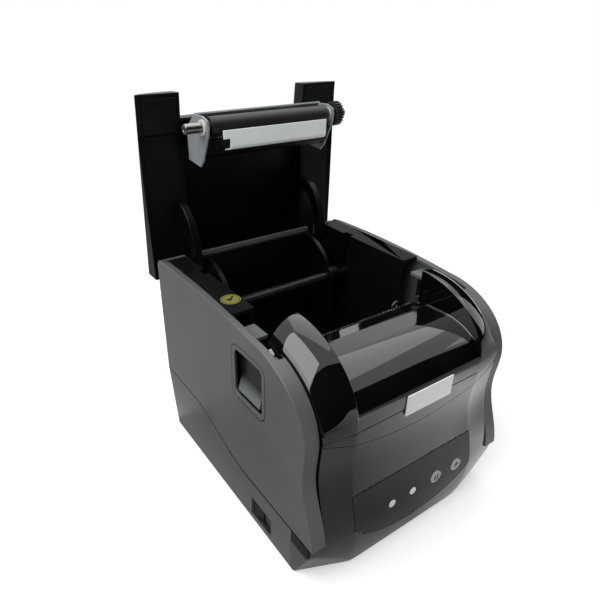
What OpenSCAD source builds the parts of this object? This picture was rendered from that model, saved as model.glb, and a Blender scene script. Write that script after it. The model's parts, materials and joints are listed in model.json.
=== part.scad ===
// Desktop receipt printer with its lid open: an 80 mm roll on a spindle, a thermal
// head in the housing and a rubber platen carried by the lid.
// The housing is drawn with its rear wall on Y = 0, its front towards -Y and its
// underside on Z = 0, and the lid is drawn closed and then swung open.

/* [Housing] */
// Width over the two side panels
body_w = 150; // [140:1:190]
// Depth from the rear wall to the front bulge
body_d = 177; // [160:1:215]
// Height of the side panels' top rim at its crown
rim_h = 134.4; // [124:0.2:165]
// Wall of the moulded covers
wall = 2.5; // [1.8:0.1:3.2]
// Thickness of a side panel
panel_t = 2.6; // [2:0.1:3.6]
// Width of the rim strip along a side panel's top
rim_strip = 4.2; // [3:0.1:6]
// Width of the front strip of a side panel
front_strip = 9; // [6:0.5:12]
// Drop of the rim from its crown to the mouth
rim_drop = 3.4; // [2:0.1:6]
// Height of the parting line at the rear
parting_rear = 46.6; // [38:0.2:54]
// Height of the parting line at the front
parting_front = 31.5; // [26:0.5:36]
// How far the rear wall leans in at the bottom
rear_lean = 9; // [0:0.5:14]
// Width of a ledge beside the paper well, with the rim
ledge_w = 17.4; // [14:0.2:24]
// How far the feet stand out below the housing
foot_out = 1.2; // [0.8:0.1:3]
// Diameter of a foot
foot_d = 13; // [8:0.5:18]

/* [Front] */
// Height of the front's fullest point
bulge_z = 28; // [24:1:34]
// How far the front draws in at the bottom
chin_in = 4; // [2:0.5:8]
// Height of the front's waist
waist_z = 74; // [68:1:80]
// How far the waist draws in
waist_in = 8.6; // [6:0.2:12]
// Height where the hood starts to round over
shoulder_z = 101; // [96:1:106]
// How far the shoulder draws in
shoulder_in = 7; // [5:0.5:10]
// Height of the hood's crest
crest_z = 120.5; // [114:0.5:124]
// Distance from the front bulge to the tear bar
mouth_set = 62; // [58:1:68]
// Height of the wings at the mouth
wing_z = 140; // [136:0.5:146]
// Distance between the wings
wing_gap = 94; // [92:1:110]
// Height of the seam above the front band
band_top = 95; // [92:0.5:98]
// Height of the seam below the front band, at the middle
band_low = 80; // [77:0.5:84]

/* [Lid] */
// Angle that the lid stands open
lid_open = 92; // [80:1:96]
// Distance of the hinge from the rear wall
hinge_in = 7; // [6:0.5:10]
// Height of the hinge below the rim's crown
hinge_drop = 12.4; // [11:0.2:16]
// Height of the closed lid's side edge above the rim at the rear
lid_rear_rise = 13.9; // [9:0.1:20]
// Crown of the lid above its side edges
lid_crown = 11; // [6:0.5:15]
// How far the lid's middle lip is set back from its tips
lip_set = 15; // [10:0.5:20]
// Diameter of the hinge pins
hinge_pin_d = 3.6; // [3:0.2:5]

/* [Print mechanism] */
// Diameter of the rubber roller
platen_d = 11.5; // [10:0.5:13]
// Length of the rubber roller
platen_len = 86; // [80:1:88]
// Diameter of the platen shaft
shaft_d = 6; // [5:0.5:7]
// Distance over the two ears of the platen bracket
bracket_w = 93.4; // [91:0.2:96]
// Thickness of the steel sheet parts
sheet_t = 1.2; // [0.8:0.1:1.6]
// Gear module
gear_m = 0.6; // [0.5:0.05:0.7]
// Width of the gears
gear_w = 5; // [3:0.5:5]
// Running clearance on the radius of every turning fit
run = 0.06; // [0.02:0.01:0.1]
// Diameter of the stepper motor
motor_d = 30; // [24:1:34]

/* [Paper well] */
// Diameter of the roll spindle
spindle_d = 7; // [5:0.5:9]
// Width of paper between the two paper guides
paper_w = 80; // [57:1:82]
// Thickness of a paper guide
guide_t = 3; // [2:0.2:4]
// Height of the well's floor
well_floor = 44; // [40:1:52]

/* [Controls] */
// Diameter of a button cap
button_d = 8.6; // [7:0.2:10]
// Diameter of a light
led_d = 5; // [3:0.2:6]
// Height of the row of buttons and lights
button_z = 34.6; // [30:0.2:38]
// Travel of a button
button_travel = 0.8; // [0.4:0.1:1.2]
// Width of the control panel's top edge
panel_w = 94; // [84:1:100]
// Height of the control panel's top edge
panel_top = 52.5; // [48:0.5:56]
// Height of the control panel's lowest point
panel_low = 14; // [10:0.5:20]
// Width of the power switch
switch_w = 21; // [18:0.5:26]
// Height of the power switch
switch_h = 14.4; // [12:0.2:18]

/* [Hidden] */
$fn = 48;

half = body_w / 2;
front_y = -body_d;
mouth_y = front_y + mouth_set;
crest_y = mouth_y - 25;
shoulder_y = front_y + shoulder_in;
wing_rear = mouth_y - 4;
well_half = half - ledge_w;
ledge_z = rim_h - 0.2;
ledge_front = mouth_y + 21.7;
side_shoulder = [front_y + 11.5, 93];
rim_mouth_z = rim_h - rim_drop;
seam_y = front_y + 20.5;
fit_gap = 0.3;
clear = 0.6;

hinge_y = -hinge_in;
hinge_z = rim_h - hinge_drop;
lid_bottom = rim_h + clear;
lid_tip = mouth_y - 3.6;
tip_edge_z = rim_mouth_z + 2;
rear_edge_z = rim_h + lid_rear_rise;
lid_slope = atan2(rear_edge_z - tip_edge_z, -lid_tip);
lip_half = wing_gap / 2 - 0.2;

platen_y = mouth_y + 13.6;
platen_z = rim_h - 30.7;
platen_teeth = 24;
idler_teeth = 36;
pinion_teeth = 12;
idler_turn = 205;
pinion_turn = 215;
idler_far = gear_m * (platen_teeth + idler_teeth) / 2;
pinion_far = gear_m * (pinion_teeth + idler_teeth) / 2;
idler_y = platen_y + idler_far * cos(idler_turn);
idler_z = platen_z + idler_far * sin(idler_turn);
motor_y = idler_y + pinion_far * cos(pinion_turn);
motor_z = idler_z + pinion_far * sin(pinion_turn);
gear_x = bracket_w / 2 + 2.3;
plate_in = gear_x + gear_w + 1;
plate_out = plate_in + sheet_t;
hook_in = plate_out + 0.7;
hook_t = 1.8;
shaft_end = hook_in + hook_t;
deck_z = platen_z - 38;
head_turn = 210;
head_gap = fit_gap;
head_w = 84;
face_v = platen_d / 2 + head_gap;
head_t = 1.2;
sink_t = 3;
rod_u = 9.6;
sink_back = face_v + head_t + sink_t;
rod_v = sink_back - sink_t / 2;
rod_y = platen_y + rod_v * cos(head_turn) - rod_u * sin(head_turn);
rod_z = platen_z + rod_v * sin(head_turn) + rod_u * cos(head_turn);
rod_d = 3;
hook_y = platen_y - 10.6;
hook_z = platen_z - 24.2;
pivot_d = 4;
spindle_y = -37;
spindle_z = rim_h - 29.4;
window_y = mouth_y + 1;
window_z = 103.4;
window_w = 30;
window_h = 32;
switch_y = mouth_y - 11;
switch_z = 10.2;

open_rear = max(open_at([0, rear_edge_z + lid_crown]), open_at([lid_tip, tip_edge_z + lid_crown]));
y_seat = (body_d - open_rear) / 2;

function open_at(p) =
    hinge_y + (p.x - hinge_y) * cos(lid_open) + (p.y - hinge_z) * sin(lid_open);
function ease(a, b, t) = a + (b - a) * (1 - cos(180 * t)) / 2;
function up(a, b, n) = [for (i = [0 : n]) a + (b - a) * i / n];
function reverse(p) = [for (i = [len(p) - 1 : -1 : 0]) p[i]];
function unit(v) = v / norm(v);

// the outline's inside lies on the right of its direction of travel
function shifted(p, t) = [for (i = [0 : len(p) - 1])
    let (d = unit(p[min(i + 1, len(p) - 1)] - p[max(i - 1, 0)]))
    p[i] + t * [d.y, -d.x]];
function band(p, t0, t1) = concat(shifted(p, t0), reverse(shifted(p, t1)));

function front_in(z) =
    z < bulge_z ? chin_in * pow(1 - z / bulge_z, 2)
    : z < waist_z ? ease(0, waist_in, (z - bulge_z) / (waist_z - bulge_z))
    : ease(waist_in, shoulder_in, (z - waist_z) / (shoulder_z - waist_z));
function front_line(z0, z1, n) = [for (z = up(z0, z1, n)) [front_y + front_in(z), z]];
function hood_line() = [for (t = up(0, 90, 14))
    [crest_y - (crest_y - shoulder_y) * cos(t), shoulder_z + (crest_z - shoulder_z) * sin(t)]];
function wing_line() = [for (t = up(6, 90, 14))
    [wing_rear - (wing_rear - shoulder_y - 1.5) * cos(t),
     shoulder_z + 6 + (wing_z - shoulder_z - 6) * sin(t)]];
function side_in(z) =
    z < bulge_z ? 15 * pow(1 - z / bulge_z, 1.4)
    : z < waist_z ? ease(1.5, 12.8, (z - bulge_z) / (waist_z - bulge_z))
    : ease(12.8, 11.5, (z - waist_z) / (side_shoulder.y - waist_z));
function side_front(z0, n) = [for (z = up(z0, side_shoulder.y, n)) [front_y + side_in(z), z]];
function side_round() = [for (t = up(5, 90, 16))
    [lid_tip - (lid_tip - side_shoulder.x) * cos(t),
     side_shoulder.y + (rim_mouth_z - side_shoulder.y) * sin(t)]];
rim_crown_y = -45;
function rim_at(y) = rim_h - rim_drop * pow((y - rim_crown_y) / (lid_tip - rim_crown_y), 2);
function rim_line() = [for (y = up(lid_tip + 8, -9, 10)) [y, rim_at(y)]];
function parting_at(y) =
    y > -40 ? parting_rear
    : y > -112 ? ease(parting_rear, parting_front, (-40 - y) / 72)
    : parting_front;
function parting_line() = [for (y = up(-112, -40, 16)) [y, parting_at(y)]];

// a flat outline in Y and Z, carried along X
module along_x(x0, x1) translate([x0, 0, 0]) rotate([90, 0, 90]) linear_extrude(x1 - x0) children();
module both() { children(); mirror([1, 0, 0]) children(); }
module box(x0, x1, y0, y1, z0, z1) translate([x0, y0, z0]) cube([x1 - x0, y1 - y0, z1 - z0]);
module rod_x(x0, x1, y, z, d) translate([x0, y, z]) rotate([0, 90, 0]) cylinder(h = x1 - x0, d = d);
module rod_y(x, y0, y1, z, d) translate([x, y0, z]) rotate([-90, 0, 0]) cylinder(h = y1 - y0, d = d);
module housing() translate([0, y_seat, foot_out]) children();
module lid() housing() translate([0, hinge_y, hinge_z]) rotate([-lid_open, 0, 0])
    translate([0, -hinge_y, -hinge_z]) children();

// ---- housing ----

foot_x = half - 16;
foot_rear = -24;
foot_front = front_y + 30;
module at_feet() for (y = [foot_rear, foot_front]) both() translate([foot_x, y, 0]) children();

post_x = well_half - 8;
post_rear = -22;
post_front = mouth_y + 34;
module at_posts() for (y = [post_rear, post_front]) both() translate([post_x, y, 0]) children();
post_d = 9;
screw_d = 3;

module base_tray() color([0.13, 0.13, 0.14]) housing() {
    difference() {
        along_x(-half, half) polygon(concat([[-rear_lean, 0], [seam_y, 0], [seam_y, parting_front]],
            parting_line(), [[0, parting_rear]]));
        along_x(-half + wall, half - wall) polygon([[-rear_lean - wall, wall], [seam_y - 1, wall],
            [seam_y - 1, parting_rear + 1], [-wall, parting_rear + 1], [-wall, parting_rear]]);
        at_feet() translate([0, 0, -1]) cylinder(h = 2, d = foot_d);
        at_posts() {
            translate([0, 0, -1]) cylinder(h = 3, d = screw_d + 3);
            translate([0, 0, -1]) cylinder(h = 5, d = screw_d);
        }
        box(-half - 1, -half + wall + 1, switch_y - switch_w / 2 - 0.2, switch_y + switch_w / 2 + 0.2,
            switch_z - switch_h / 2 - 0.2, switch_z + switch_h / 2 + 0.2);
        for (port = ports) box(port[0] - port[1] / 2 - 0.3, port[0] + port[1] / 2 + 0.3, -14, 4,
            port_z - 0.3, port_z + port[2] + 0.3);
    }
    difference() {
        at_posts() translate([0, 0, wall]) cylinder(h = well_floor - 2 * wall, d = post_d);
        at_posts() translate([0, 0, -1]) cylinder(h = well_floor, d = screw_d);
    }
}

// x, width and height of each connector on the rear
port_z = 12;
dc_port = [-34, 11, 11];
usb_port_size = [-8, 12, 11];
drawer_port_size = [22, 14, 13];
ports = [dc_port, usb_port_size, drawer_port_size];

window_round = 5;
module window_2d(extra) translate([window_y, window_z])
    for (i = [-1, 1]) {
        square([window_w - 2 * window_round + 2 * extra, window_h + 2 * extra], center = true);
        square([window_w + 2 * extra, window_h - 2 * window_round + 2 * extra], center = true);
        for (j = [-1, 1]) translate([i * (window_w / 2 - window_round), j * (window_h / 2 - window_round)])
            circle(r = window_round + extra);
    }

function panel_outline() = concat(side_front(parting_front, 14), side_round(), rim_line(),
    [[-3, rim_h - 1.6], [0, rim_h - 4.4], [0, parting_rear]], reverse(parting_line()),
    [[seam_y, parting_front]]);
function rim_path() = concat(side_round(), rim_line());

module side_panel() color([0.15, 0.15, 0.16]) housing() {
    difference() {
        union() {
            along_x(half - panel_t, half) polygon(panel_outline());
            along_x(half - front_strip, half - panel_t) polygon(band(concat(side_front(parting_front, 14),
                [for (p = side_round()) if (p.x < ledge_front - 40) p]), 0, wall));
            along_x(half - rim_strip, half - panel_t) polygon(band(rim_path(), 0, wall));
        }
        along_x(half - panel_t - 1, half + 1) window_2d(0);
    }
    along_x(half - 0.9, half) difference() { window_2d(0); window_2d(-1.4); }
}
module side_panel_right() side_panel();
module side_panel_left() mirror([1, 0, 0]) side_panel();

arm_in = lip_half + wall;
arm_t = 5;
notch_half = [arm_in - 1, arm_in + arm_t + 1];
rear_top = rim_h - 3;
module arm_notches() both() box(notch_half[0], notch_half[1], -9, 1, hinge_z - 8, rim_h + 9);

module rear_panel() color([0.15, 0.15, 0.16]) housing() difference() {
    box(-half + panel_t, half - panel_t, -wall, 0, parting_rear, rear_top);
    arm_notches();
    for (i = [-4 : 4]) box(i * 7 - 1, i * 7 + 1, -wall - 1, 1, parting_rear + 8, parting_rear + 22);
}

frame_front = mouth_y - 37;
well_front = ledge_front;
saddle_w = spindle_d + 1;
module inner_frame() color([0.09, 0.09, 0.1]) housing() difference() {
    union() {
        both() {
            box(well_half, half - rim_strip, ledge_front, -9, ledge_z - wall, ledge_z);
            along_x(well_half, half - panel_t - 1) polygon([[-9, ledge_z - wall], [-9, ledge_z],
                [-wall, rim_h - 4.4], [-wall, rim_h - 4.4 - wall]]);
            box(well_half, well_half + wall, well_front, -2 * wall, well_floor - wall, ledge_z - wall);
        }
        box(-well_half - wall, well_half + wall, -2 * wall, -wall, parting_rear, rear_top - 3);
        box(-well_half, well_half, -3.4 * wall, -2 * wall, well_floor - wall, parting_rear + wall);
        box(-well_half, well_half, well_front, -2 * wall, well_floor - wall, well_floor);
        box(-well_half, well_half, well_front, well_front + wall, well_floor, platen_z - 14);
        box(-well_half - wall, well_half + wall, frame_front, well_front, deck_z - wall, deck_z);
    }
    arm_notches();
    both() {
        box(well_half - 1, well_half + wall + 1, spindle_y - saddle_w / 2, spindle_y + saddle_w / 2,
            spindle_z, rim_h + 1);
        rod_x(well_half - 1, well_half + wall + 1, spindle_y, spindle_z, saddle_w);
        box(half - 5.6, half - rim_strip - 0.001, -60, -31, ledge_z - 1, ledge_z + 1);
        rod_x(arm_in, well_half + wall + 1, hinge_y, hinge_z, hinge_pin_d);
    }
    at_posts() translate([0, 0, well_floor - wall - 1]) cylinder(h = wall + 2, d = screw_d);
}

crease = wing_gap / 2 - 0.6;
facet_turn = 8;
inner_edge = half - front_strip - 0.2;

// a front piece: straight between the creases, its side facets turned back
module facet(x_end) translate([crease, front_y, 0]) rotate([0, 0, facet_turn])
    translate([0, -front_y, 0]) along_x(-0.8, x_end) children();
module front_shape(x_end) {
    along_x(-crease, crease) children();
    both() intersection() {
        facet(x_end) children();
        box(crease, x_end, front_y - 5, 5, -5, rim_h + 20);
    }
}

hood_path = concat([for (z = [band_top + 0.2, 98]) [front_y + front_in(z), z]], hood_line(),
    [[mouth_y - 12, crest_z - 0.6], [mouth_y - 1.2, crest_z - 3]]);
wing_path = concat([[front_y + front_in(band_top + 0.2) + 1, band_top + 0.2]], wing_line());

module front_hood() color([0.04, 0.04, 0.05]) housing() {
    along_x(-crease, crease) polygon(band(hood_path, 0, wall));
    both() {
        intersection() {
            facet(half) polygon(band(wing_path, 0, wall));
            box(crease, inner_edge, front_y - 5, wing_rear, 0, rim_h + 30);
        }
        along_x(crease, crease + wall) difference() {
            polygon(concat(shifted(wing_path, 1), [[wing_rear, shoulder_z]]));
            polygon(concat(shifted(hood_path, 1), [[0, crest_z - 4], [0, 0], [front_y + 30, 0]]));
        }
    }
    box(-crease, crease, mouth_y - 3, mouth_y - 0.9, crest_z - 14, crest_z - 5);
}

function smile_at(x) = band_low + (band_top - 1.4 - band_low) * pow(min(1, abs(x) / inner_edge), 2);
module below_smile(drop) rotate([90, 0, 0]) translate([0, 0, -10]) linear_extrude(body_d + 40)
    polygon(concat([for (x = up(-half - 5, half + 5, 30)) [x, smile_at(x) - drop]],
        [[half + 5, -20], [-half - 5, -20]]));

module front_band() color([0.04, 0.04, 0.05]) housing() difference() {
    intersection() {
        front_shape(half) polygon(band(front_line(band_low - 1, band_top - 0.2, 8), 0.2, wall));
        box(-inner_edge, inner_edge, front_y - 5, 0, 0, band_top + 5);
    }
    below_smile(0);
}

// the chin's corners are solid, and a slanting plane cuts each one back
chin_depth = 17;
chin_side = [half, front_y + chin_depth, 0];
chin_top = [half, front_y + 2.5, bulge_z];
chin_inner = [crease, front_y + chin_in + 1, 0];
chin_normal = unit(cross(chin_top - chin_side, chin_inner - chin_side));
module chin_cut() translate(chin_side)
    rotate([0, acos(chin_normal.z), atan2(chin_normal.y, chin_normal.x)])
        translate([-body_w, -body_w, 0]) cube([2 * body_w, 2 * body_w, 60]);
module chin_corner() intersection() {
    facet(half + 20) polygon(concat(front_line(0, parting_front, 10),
        [[front_y + chin_depth, parting_front], [front_y + chin_depth, 0]]));
    box(crease, half + 20, front_y - 5, seam_y - 0.2, 0, parting_front - 0.5);
}

overlay_t = 0.6;
button_x = [16.6, 34.4];
light_x = [-19.2, -2.7];
module overlay_2d(extra) intersection() {
    translate([0, panel_top - 300]) square([panel_w + 2 * extra, 600 + 2 * extra], center = true);
    translate([0, panel_low - extra + 75]) scale_circle(75);
}
module scale_circle(r) circle(r = r, $fn = 120);
module overlay_block(extra) translate([0, 5, 0]) rotate([90, 0, 0]) linear_extrude(body_d + 20)
    overlay_2d(extra);
module control_holes(extra) {
    for (x = button_x) rod_y(x, front_y - 5, front_y + 20, button_z, button_d + 2 * extra);
    for (x = light_x) rod_y(x, front_y - 5, front_y + 20, button_z, led_d + 2 * extra);
}

module front_cover() color([0.05, 0.05, 0.06]) housing() {
    difference() {
        intersection() {
            union() {
                front_shape(half + 20) polygon(band(front_line(0, 96, 26), 0, wall));
                both() chin_corner();
            }
            union() {
                below_smile(0.2);
                box(-half, half, front_y - 5, 0, 0, parting_front - 0.5);
            }
            union() {
                box(-inner_edge, inner_edge, front_y - 5, 0, -1, 100);
                box(-half, half, front_y - 5, seam_y, -1, parting_front - 0.5);
            }
        }
        intersection() {
            along_x(-half, half) polygon(band(front_line(0, 96, 26), -1, overlay_t));
            overlay_block(0.4);
        }
        control_holes(fit_gap);
        both() chin_cut();
    }
    both() box(half - wall, half, front_y + chin_depth, seam_y - 0.2, 0, parting_front - 0.5);
    difference() {
        box(-half + wall, half - wall, front_y + chin_in + 1.2, seam_y - 0.2, 0, wall);
        both() translate([foot_x, foot_front, -1]) cylinder(h = 9, d = foot_d + 2);
    }
}

module panel_overlay() color([0.16, 0.16, 0.17]) housing() difference() {
    intersection() {
        along_x(-half, half) polygon(band(front_line(0, 96, 26), 0, overlay_t));
        overlay_block(0);
    }
    control_holes(fit_gap);
}

front_at = front_y + front_in(button_z);
board_y = front_at + 12;
module status_lights() color([0.75, 0.76, 0.78]) housing() for (x = light_x)
    rod_y(x, front_at, board_y, button_z, led_d);

flange_y = front_y + front_in(button_z + button_d / 2 + 1.2) + wall + fit_gap;
module button(x) color([0.72, 0.73, 0.75]) housing() {
    rod_y(x, front_at - 0.3, board_y - 3 - button_travel - 0.15, button_z, button_d);
    rod_y(x, flange_y, flange_y + 1.2, button_z, button_d + 2.4);
}
module pause_button() button(button_x[0]);
module feed_button() button(button_x[1]);

module control_board() color([0.1, 0.35, 0.2]) housing() {
    box(-32, 46, board_y, board_y + 1.6, button_z - 11, button_z + 11);
    for (x = button_x) box(x - 3, x + 3, board_y - 3, board_y, button_z - 3, button_z + 3);
    for (x = [-29, 43]) rod_y(x, front_y + front_in(button_z + 2.5) + wall, board_y, button_z, 5);
}

label_w = 35;
label_h = 13;
label_z = 97.5;
module label_plate() color([0.9, 0.91, 0.92]) housing()
    box(4.5 - label_w / 2, 4.5 + label_w / 2, front_y + front_in(label_z + 4) - 1.1,
        front_y + front_in(label_z + 4) - 0.1, label_z - label_h / 2, label_z + label_h / 2);

module ledge_seal() color([0.75, 0.72, 0.2]) housing()
    translate([-(well_half + 6.2), mouth_y + 36.5, ledge_z]) cylinder(h = 0.3, d = 11.6);

module switch_body() color([0.06, 0.06, 0.07]) housing() difference() {
    box(-half + 0.8, -half + 15, switch_y - switch_w / 2, switch_y + switch_w / 2,
        switch_z - switch_h / 2, switch_z + switch_h / 2);
    box(-half, -half + 8.5, switch_y - switch_w / 2 + 1.4, switch_y + switch_w / 2 - 1.4,
        switch_z - switch_h / 2 + 1.4, switch_z + switch_h / 2 - 1.4);
    translate([-half + 5, switch_y, 0]) cylinder(h = 40, d = 2);
}

rocker_w = switch_w - 4.6;
module power_rocker() color([0.05, 0.05, 0.06]) housing() translate([-half + 5, switch_y, switch_z]) {
    translate([0, 0, -(switch_h / 2 - 1.9)]) linear_extrude(switch_h - 3.8)
        polygon([[-3.6, -rocker_w / 2], [-2.4, 0], [-4.6, rocker_w / 2 - 0.6],
            [2, rocker_w / 2 - 2], [2, -rocker_w / 2 + 2]]);
    translate([0, 0, -(switch_h / 2 - 0.8)]) cylinder(h = switch_h - 1.6, d = 2 - 2 * run);
}

module connector(p) {
    difference() {
        box(p[0] - p[1] / 2, p[0] + p[1] / 2, -26, -rear_lean + 1, port_z, port_z + p[2]);
        children();
    }
}
dc_hole_d = 6.4;
module dc_inlet() color([0.06, 0.06, 0.07]) housing() {
    connector(dc_port) rod_y(dc_port[0], -19, 0, port_z + 5.5, dc_hole_d);
    rod_y(dc_port[0], -19, -11, port_z + 5.5, 2.1);
}
module usb_port() color([0.7, 0.71, 0.73]) housing() connector(usb_port_size) difference() {
    box(usb_port_size[0] - 4.9, usb_port_size[0] + 4.9, -20, 0, port_z + 1.1, port_z + 9.9);
    box(usb_port_size[0] - 2.8, usb_port_size[0] + 2.8, -21, -11, port_z + 3.6, port_z + 7);
}
module drawer_port() color([0.08, 0.08, 0.09]) housing() connector(drawer_port_size) {
    box(drawer_port_size[0] - 5, drawer_port_size[0] + 5, -20, 0, port_z + 2, port_z + 9);
    box(drawer_port_size[0] - 2, drawer_port_size[0] + 2, -20, 0, port_z + 8, port_z + 11);
}

board_z = port_z - 1.6;
board_front = mouth_y + 26;
module main_board() color([0.08, 0.33, 0.18]) housing() {
    difference() {
        box(-half + 10, half - 10, board_front, -14, board_z, port_z);
        at_posts() translate([0, 0, 0]) cylinder(h = 40, d = post_d + 1);
    }
    for (p = [[28, -56, 16, 16, 2], [-8, -50, 12, 18, 2], [36, -32, 8, 8, 9], [-30, -60, 8, 8, 9]])
        box(p[0], p[0] + p[2], p[1], p[1] + p[3], port_z, port_z + p[4]);
}
module board_posts() color([0.13, 0.13, 0.14]) housing() for (y = [board_front + 4, -26]) both()
    translate([half - 14, y, wall]) cylinder(h = board_z - wall, d = 6);

module rubber_feet() color([0.07, 0.07, 0.07]) housing() at_feet()
    translate([0, 0, -foot_out]) cylinder(h = foot_out + 1, d = foot_d);
module base_screws() color([0.6, 0.61, 0.63]) housing() at_posts() {
    translate([0, 0, 0.6]) cylinder(h = 1.4, d = screw_d + 2.6);
    translate([0, 0, 2]) cylinder(h = well_floor - 3, d = screw_d - 0.1);
}

// ---- print mechanism ----

chassis_front = motor_y - motor_d / 2 - 4;
chassis_rear = ledge_front - 1;
notch_front = platen_y - 6.2;
notch_rear = platen_y + 6.6;
module mech_chassis() color([0.62, 0.64, 0.66]) housing() {
    difference() {
        union() {
            box(-plate_out, plate_out, chassis_front, chassis_rear, deck_z, deck_z + sheet_t);
            box(-plate_out, plate_out, chassis_front, chassis_front + sheet_t, deck_z, platen_z - 9);
            box(-34, 19, rail_y - sheet_t, rail_y, deck_z, platen_z - 4.6);
            both() along_x(plate_in, plate_out) polygon([[chassis_front, deck_z],
                [chassis_front, platen_z - 9], [platen_y - 16, platen_z + 7], [platen_y - 8, platen_z + 7],
                [chassis_rear, platen_z + 2], [chassis_rear, deck_z]]);
        }
        both() {
            box(plate_in - 1, plate_out + 1, notch_front, notch_rear, platen_z - 5, platen_z + 20);
            rod_x(plate_in - 1, plate_out + 1, rod_y, rod_z, rod_d);
            rod_x(plate_in - 1, plate_out + 1, hook_y, hook_z, pivot_d);
        }
        rod_x(plate_in - 1, plate_out + 1, idler_y, idler_z, axle_d);
    }
    difference() {
        box(motor_x, motor_x + sheet_t, motor_y - motor_d / 2 - 2, motor_y + motor_d / 2 + 2,
            deck_z + sheet_t, motor_z + motor_d / 2 - 4);
        rod_x(motor_x - 1, motor_x + 3, motor_y, motor_z, 9);
        rod_x(motor_x - 1, motor_x + 3, idler_y, idler_z, axle_d);
    }
}

motor_x = gear_x - 2.2;
motor_len = 20;
module stepper_motor() color([0.55, 0.56, 0.58]) housing() {
    difference() {
        union() {
            rod_x(motor_x - motor_len, motor_x, motor_y, motor_z, motor_d);
            rod_x(motor_x, motor_x + sheet_t, motor_y, motor_z, 8.9);
        }
        rod_x(motor_x - 8, motor_x + 3, motor_y, motor_z, 2 + 2 * run);
    }
}

function tooth(teeth, k, phase) = let (
    r = gear_m * teeth / 2, a = phase + 360 * k / teeth, p = 360 / teeth)
    [for (q = [[-0.31, -1.2], [-0.15, 0.9], [0.15, 0.9], [0.31, -1.2]])
        (r + q[1] * gear_m) * [cos(a + q[0] * p), sin(a + q[0] * p)]];
function gear_outline(teeth, phase) = [for (k = [0 : teeth - 1]) each tooth(teeth, k, phase)];
module gear(x, y, z, teeth, phase, bore, hub) difference() {
    union() {
        translate([0, y, z]) along_x(x, x + gear_w) polygon(gear_outline(teeth, phase));
        rod_x(x - 0.6, x, y, z, hub);
    }
    rod_x(x - 2, x + gear_w + 2, y, z, bore);
}
idler_pitch = 360 / idler_teeth;
idler_phase = idler_turn + 180;
slip = idler_phase - pinion_turn - idler_pitch * floor((idler_phase - pinion_turn) / idler_pitch);
pinion_phase = pinion_turn + 180 + 180 / pinion_teeth - slip * idler_teeth / pinion_teeth;
platen_phase = idler_turn + 180 / platen_teeth;

axle_d = 3;
module motor_pinion() color([0.8, 0.66, 0.35]) housing() {
    gear(gear_x, motor_y, motor_z, pinion_teeth, pinion_phase, 2, 4);
    rod_x(motor_x - 7, gear_x + gear_w, motor_y, motor_z, 2);
}
module idler_gear() color([0.85, 0.85, 0.82]) housing()
    gear(gear_x, idler_y, idler_z, idler_teeth, idler_phase, axle_d + 2 * run, 6);
module idler_axle() color([0.66, 0.67, 0.69]) housing() {
    rod_x(motor_x, plate_out, idler_y, idler_z, axle_d);
}

// along the head's face: u runs up the face and v away from the platen
module at_head() translate([0, platen_y, platen_z]) rotate([head_turn, 0, 0]) children();
module print_head() color([0.82, 0.8, 0.74]) housing() at_head()
    box(-head_w / 2, head_w / 2, face_v, face_v + head_t, -6.6, 5);
module head_heatsink() color([0.7, 0.71, 0.73]) housing() difference() {
    union() {
        at_head() box(-head_w / 2, head_w / 2, face_v + head_t, sink_back, -6.6, 6.5);
        both() {
            rod_x(head_w / 2 - 6, head_w / 2, rod_y, rod_z, 7);
            at_head() box(head_w / 2 - 6, head_w / 2, face_v + head_t, sink_back, 6, rod_u - 2.5);
        }
    }
    both() rod_x(head_w / 2 - 8, head_w / 2 + 2, rod_y, rod_z, rod_d + 2 * run);
}
module head_rod() color([0.66, 0.67, 0.69]) housing()
    rod_x(-plate_out - 0.4, plate_out + 0.4, rod_y, rod_z, rod_d);

spring_x = [-26, 12];
spring_d = 5;
spring_wire = 1.6;
spring_z = platen_z - 8.5;
rail_y = platen_y - 15.9;
module head_springs() color([0.6, 0.61, 0.63]) housing() for (x = spring_x, k = [0 : 3])
    translate([x, rail_y + spring_wire / 2 + k * (spring_wire - 0.1), spring_z]) rotate([-90, 0, 0])
        rotate_extrude() translate([spring_d / 2, 0]) circle(d = spring_wire, $fn = 16);

tooth_pitch = 2.2;
tear_half = 43;
module tear_bar() color([0.6, 0.62, 0.64]) housing() {
    translate([0, mouth_y, 0]) rotate([90, 0, 0]) linear_extrude(0.9) polygon(concat(
        [[-tear_half, crest_z - 13], [tear_half, crest_z - 13]],
        [for (k = [0 : floor(2 * tear_half / tooth_pitch) * 2])
            [tear_half - k * tooth_pitch / 2, crest_z - 3.2 - (k % 2) * 1.6]]));
    translate([33, mouth_y + 1.6, crest_z - 4]) rotate([90, 0, 0]) difference() {
        union() { cylinder(h = 1, d = 7.6); translate([-3.8, -9, 0]) cube([7.6, 9, 1]); }
        translate([0, 1, -1]) cylinder(h = 3, d = 2.4);
    }
    box(29.2, 36.8, mouth_y, mouth_y + 1, crest_z - 13, crest_z - 9);
}

// ---- latches ----

module latch_pins() color([0.66, 0.67, 0.69]) housing() both()
    rod_x(plate_in - 1, hook_in + hook_t + 0.9, hook_y, hook_z, pivot_d);

hook_nose = platen_y - shaft_d / 2 - 2.2;
module latch_hook() color([0.64, 0.66, 0.68]) housing() difference() {
    union() {
        rod_x(hook_in, hook_in + hook_t, hook_y, hook_z, 10);
        along_x(hook_in, hook_in + hook_t) polygon([[hook_y - 4.6, hook_z], [hook_y + 4.6, hook_z],
            [hook_nose - 1.4, platen_z - 6], [hook_nose - 1.8, platen_z + 2.6], [hook_nose, platen_z + 4.4],
            [hook_nose, platen_z + 7], [hook_nose - 3, platen_z + 12], [hook_nose - 6.4, platen_z + 10]]);
    }
    rod_x(hook_in - 1, hook_in + hook_t + 1, hook_y, hook_z, pivot_d + 2 * run);
}
module latch_hook_right() latch_hook();
module latch_hook_left() mirror([1, 0, 0]) latch_hook();

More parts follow.
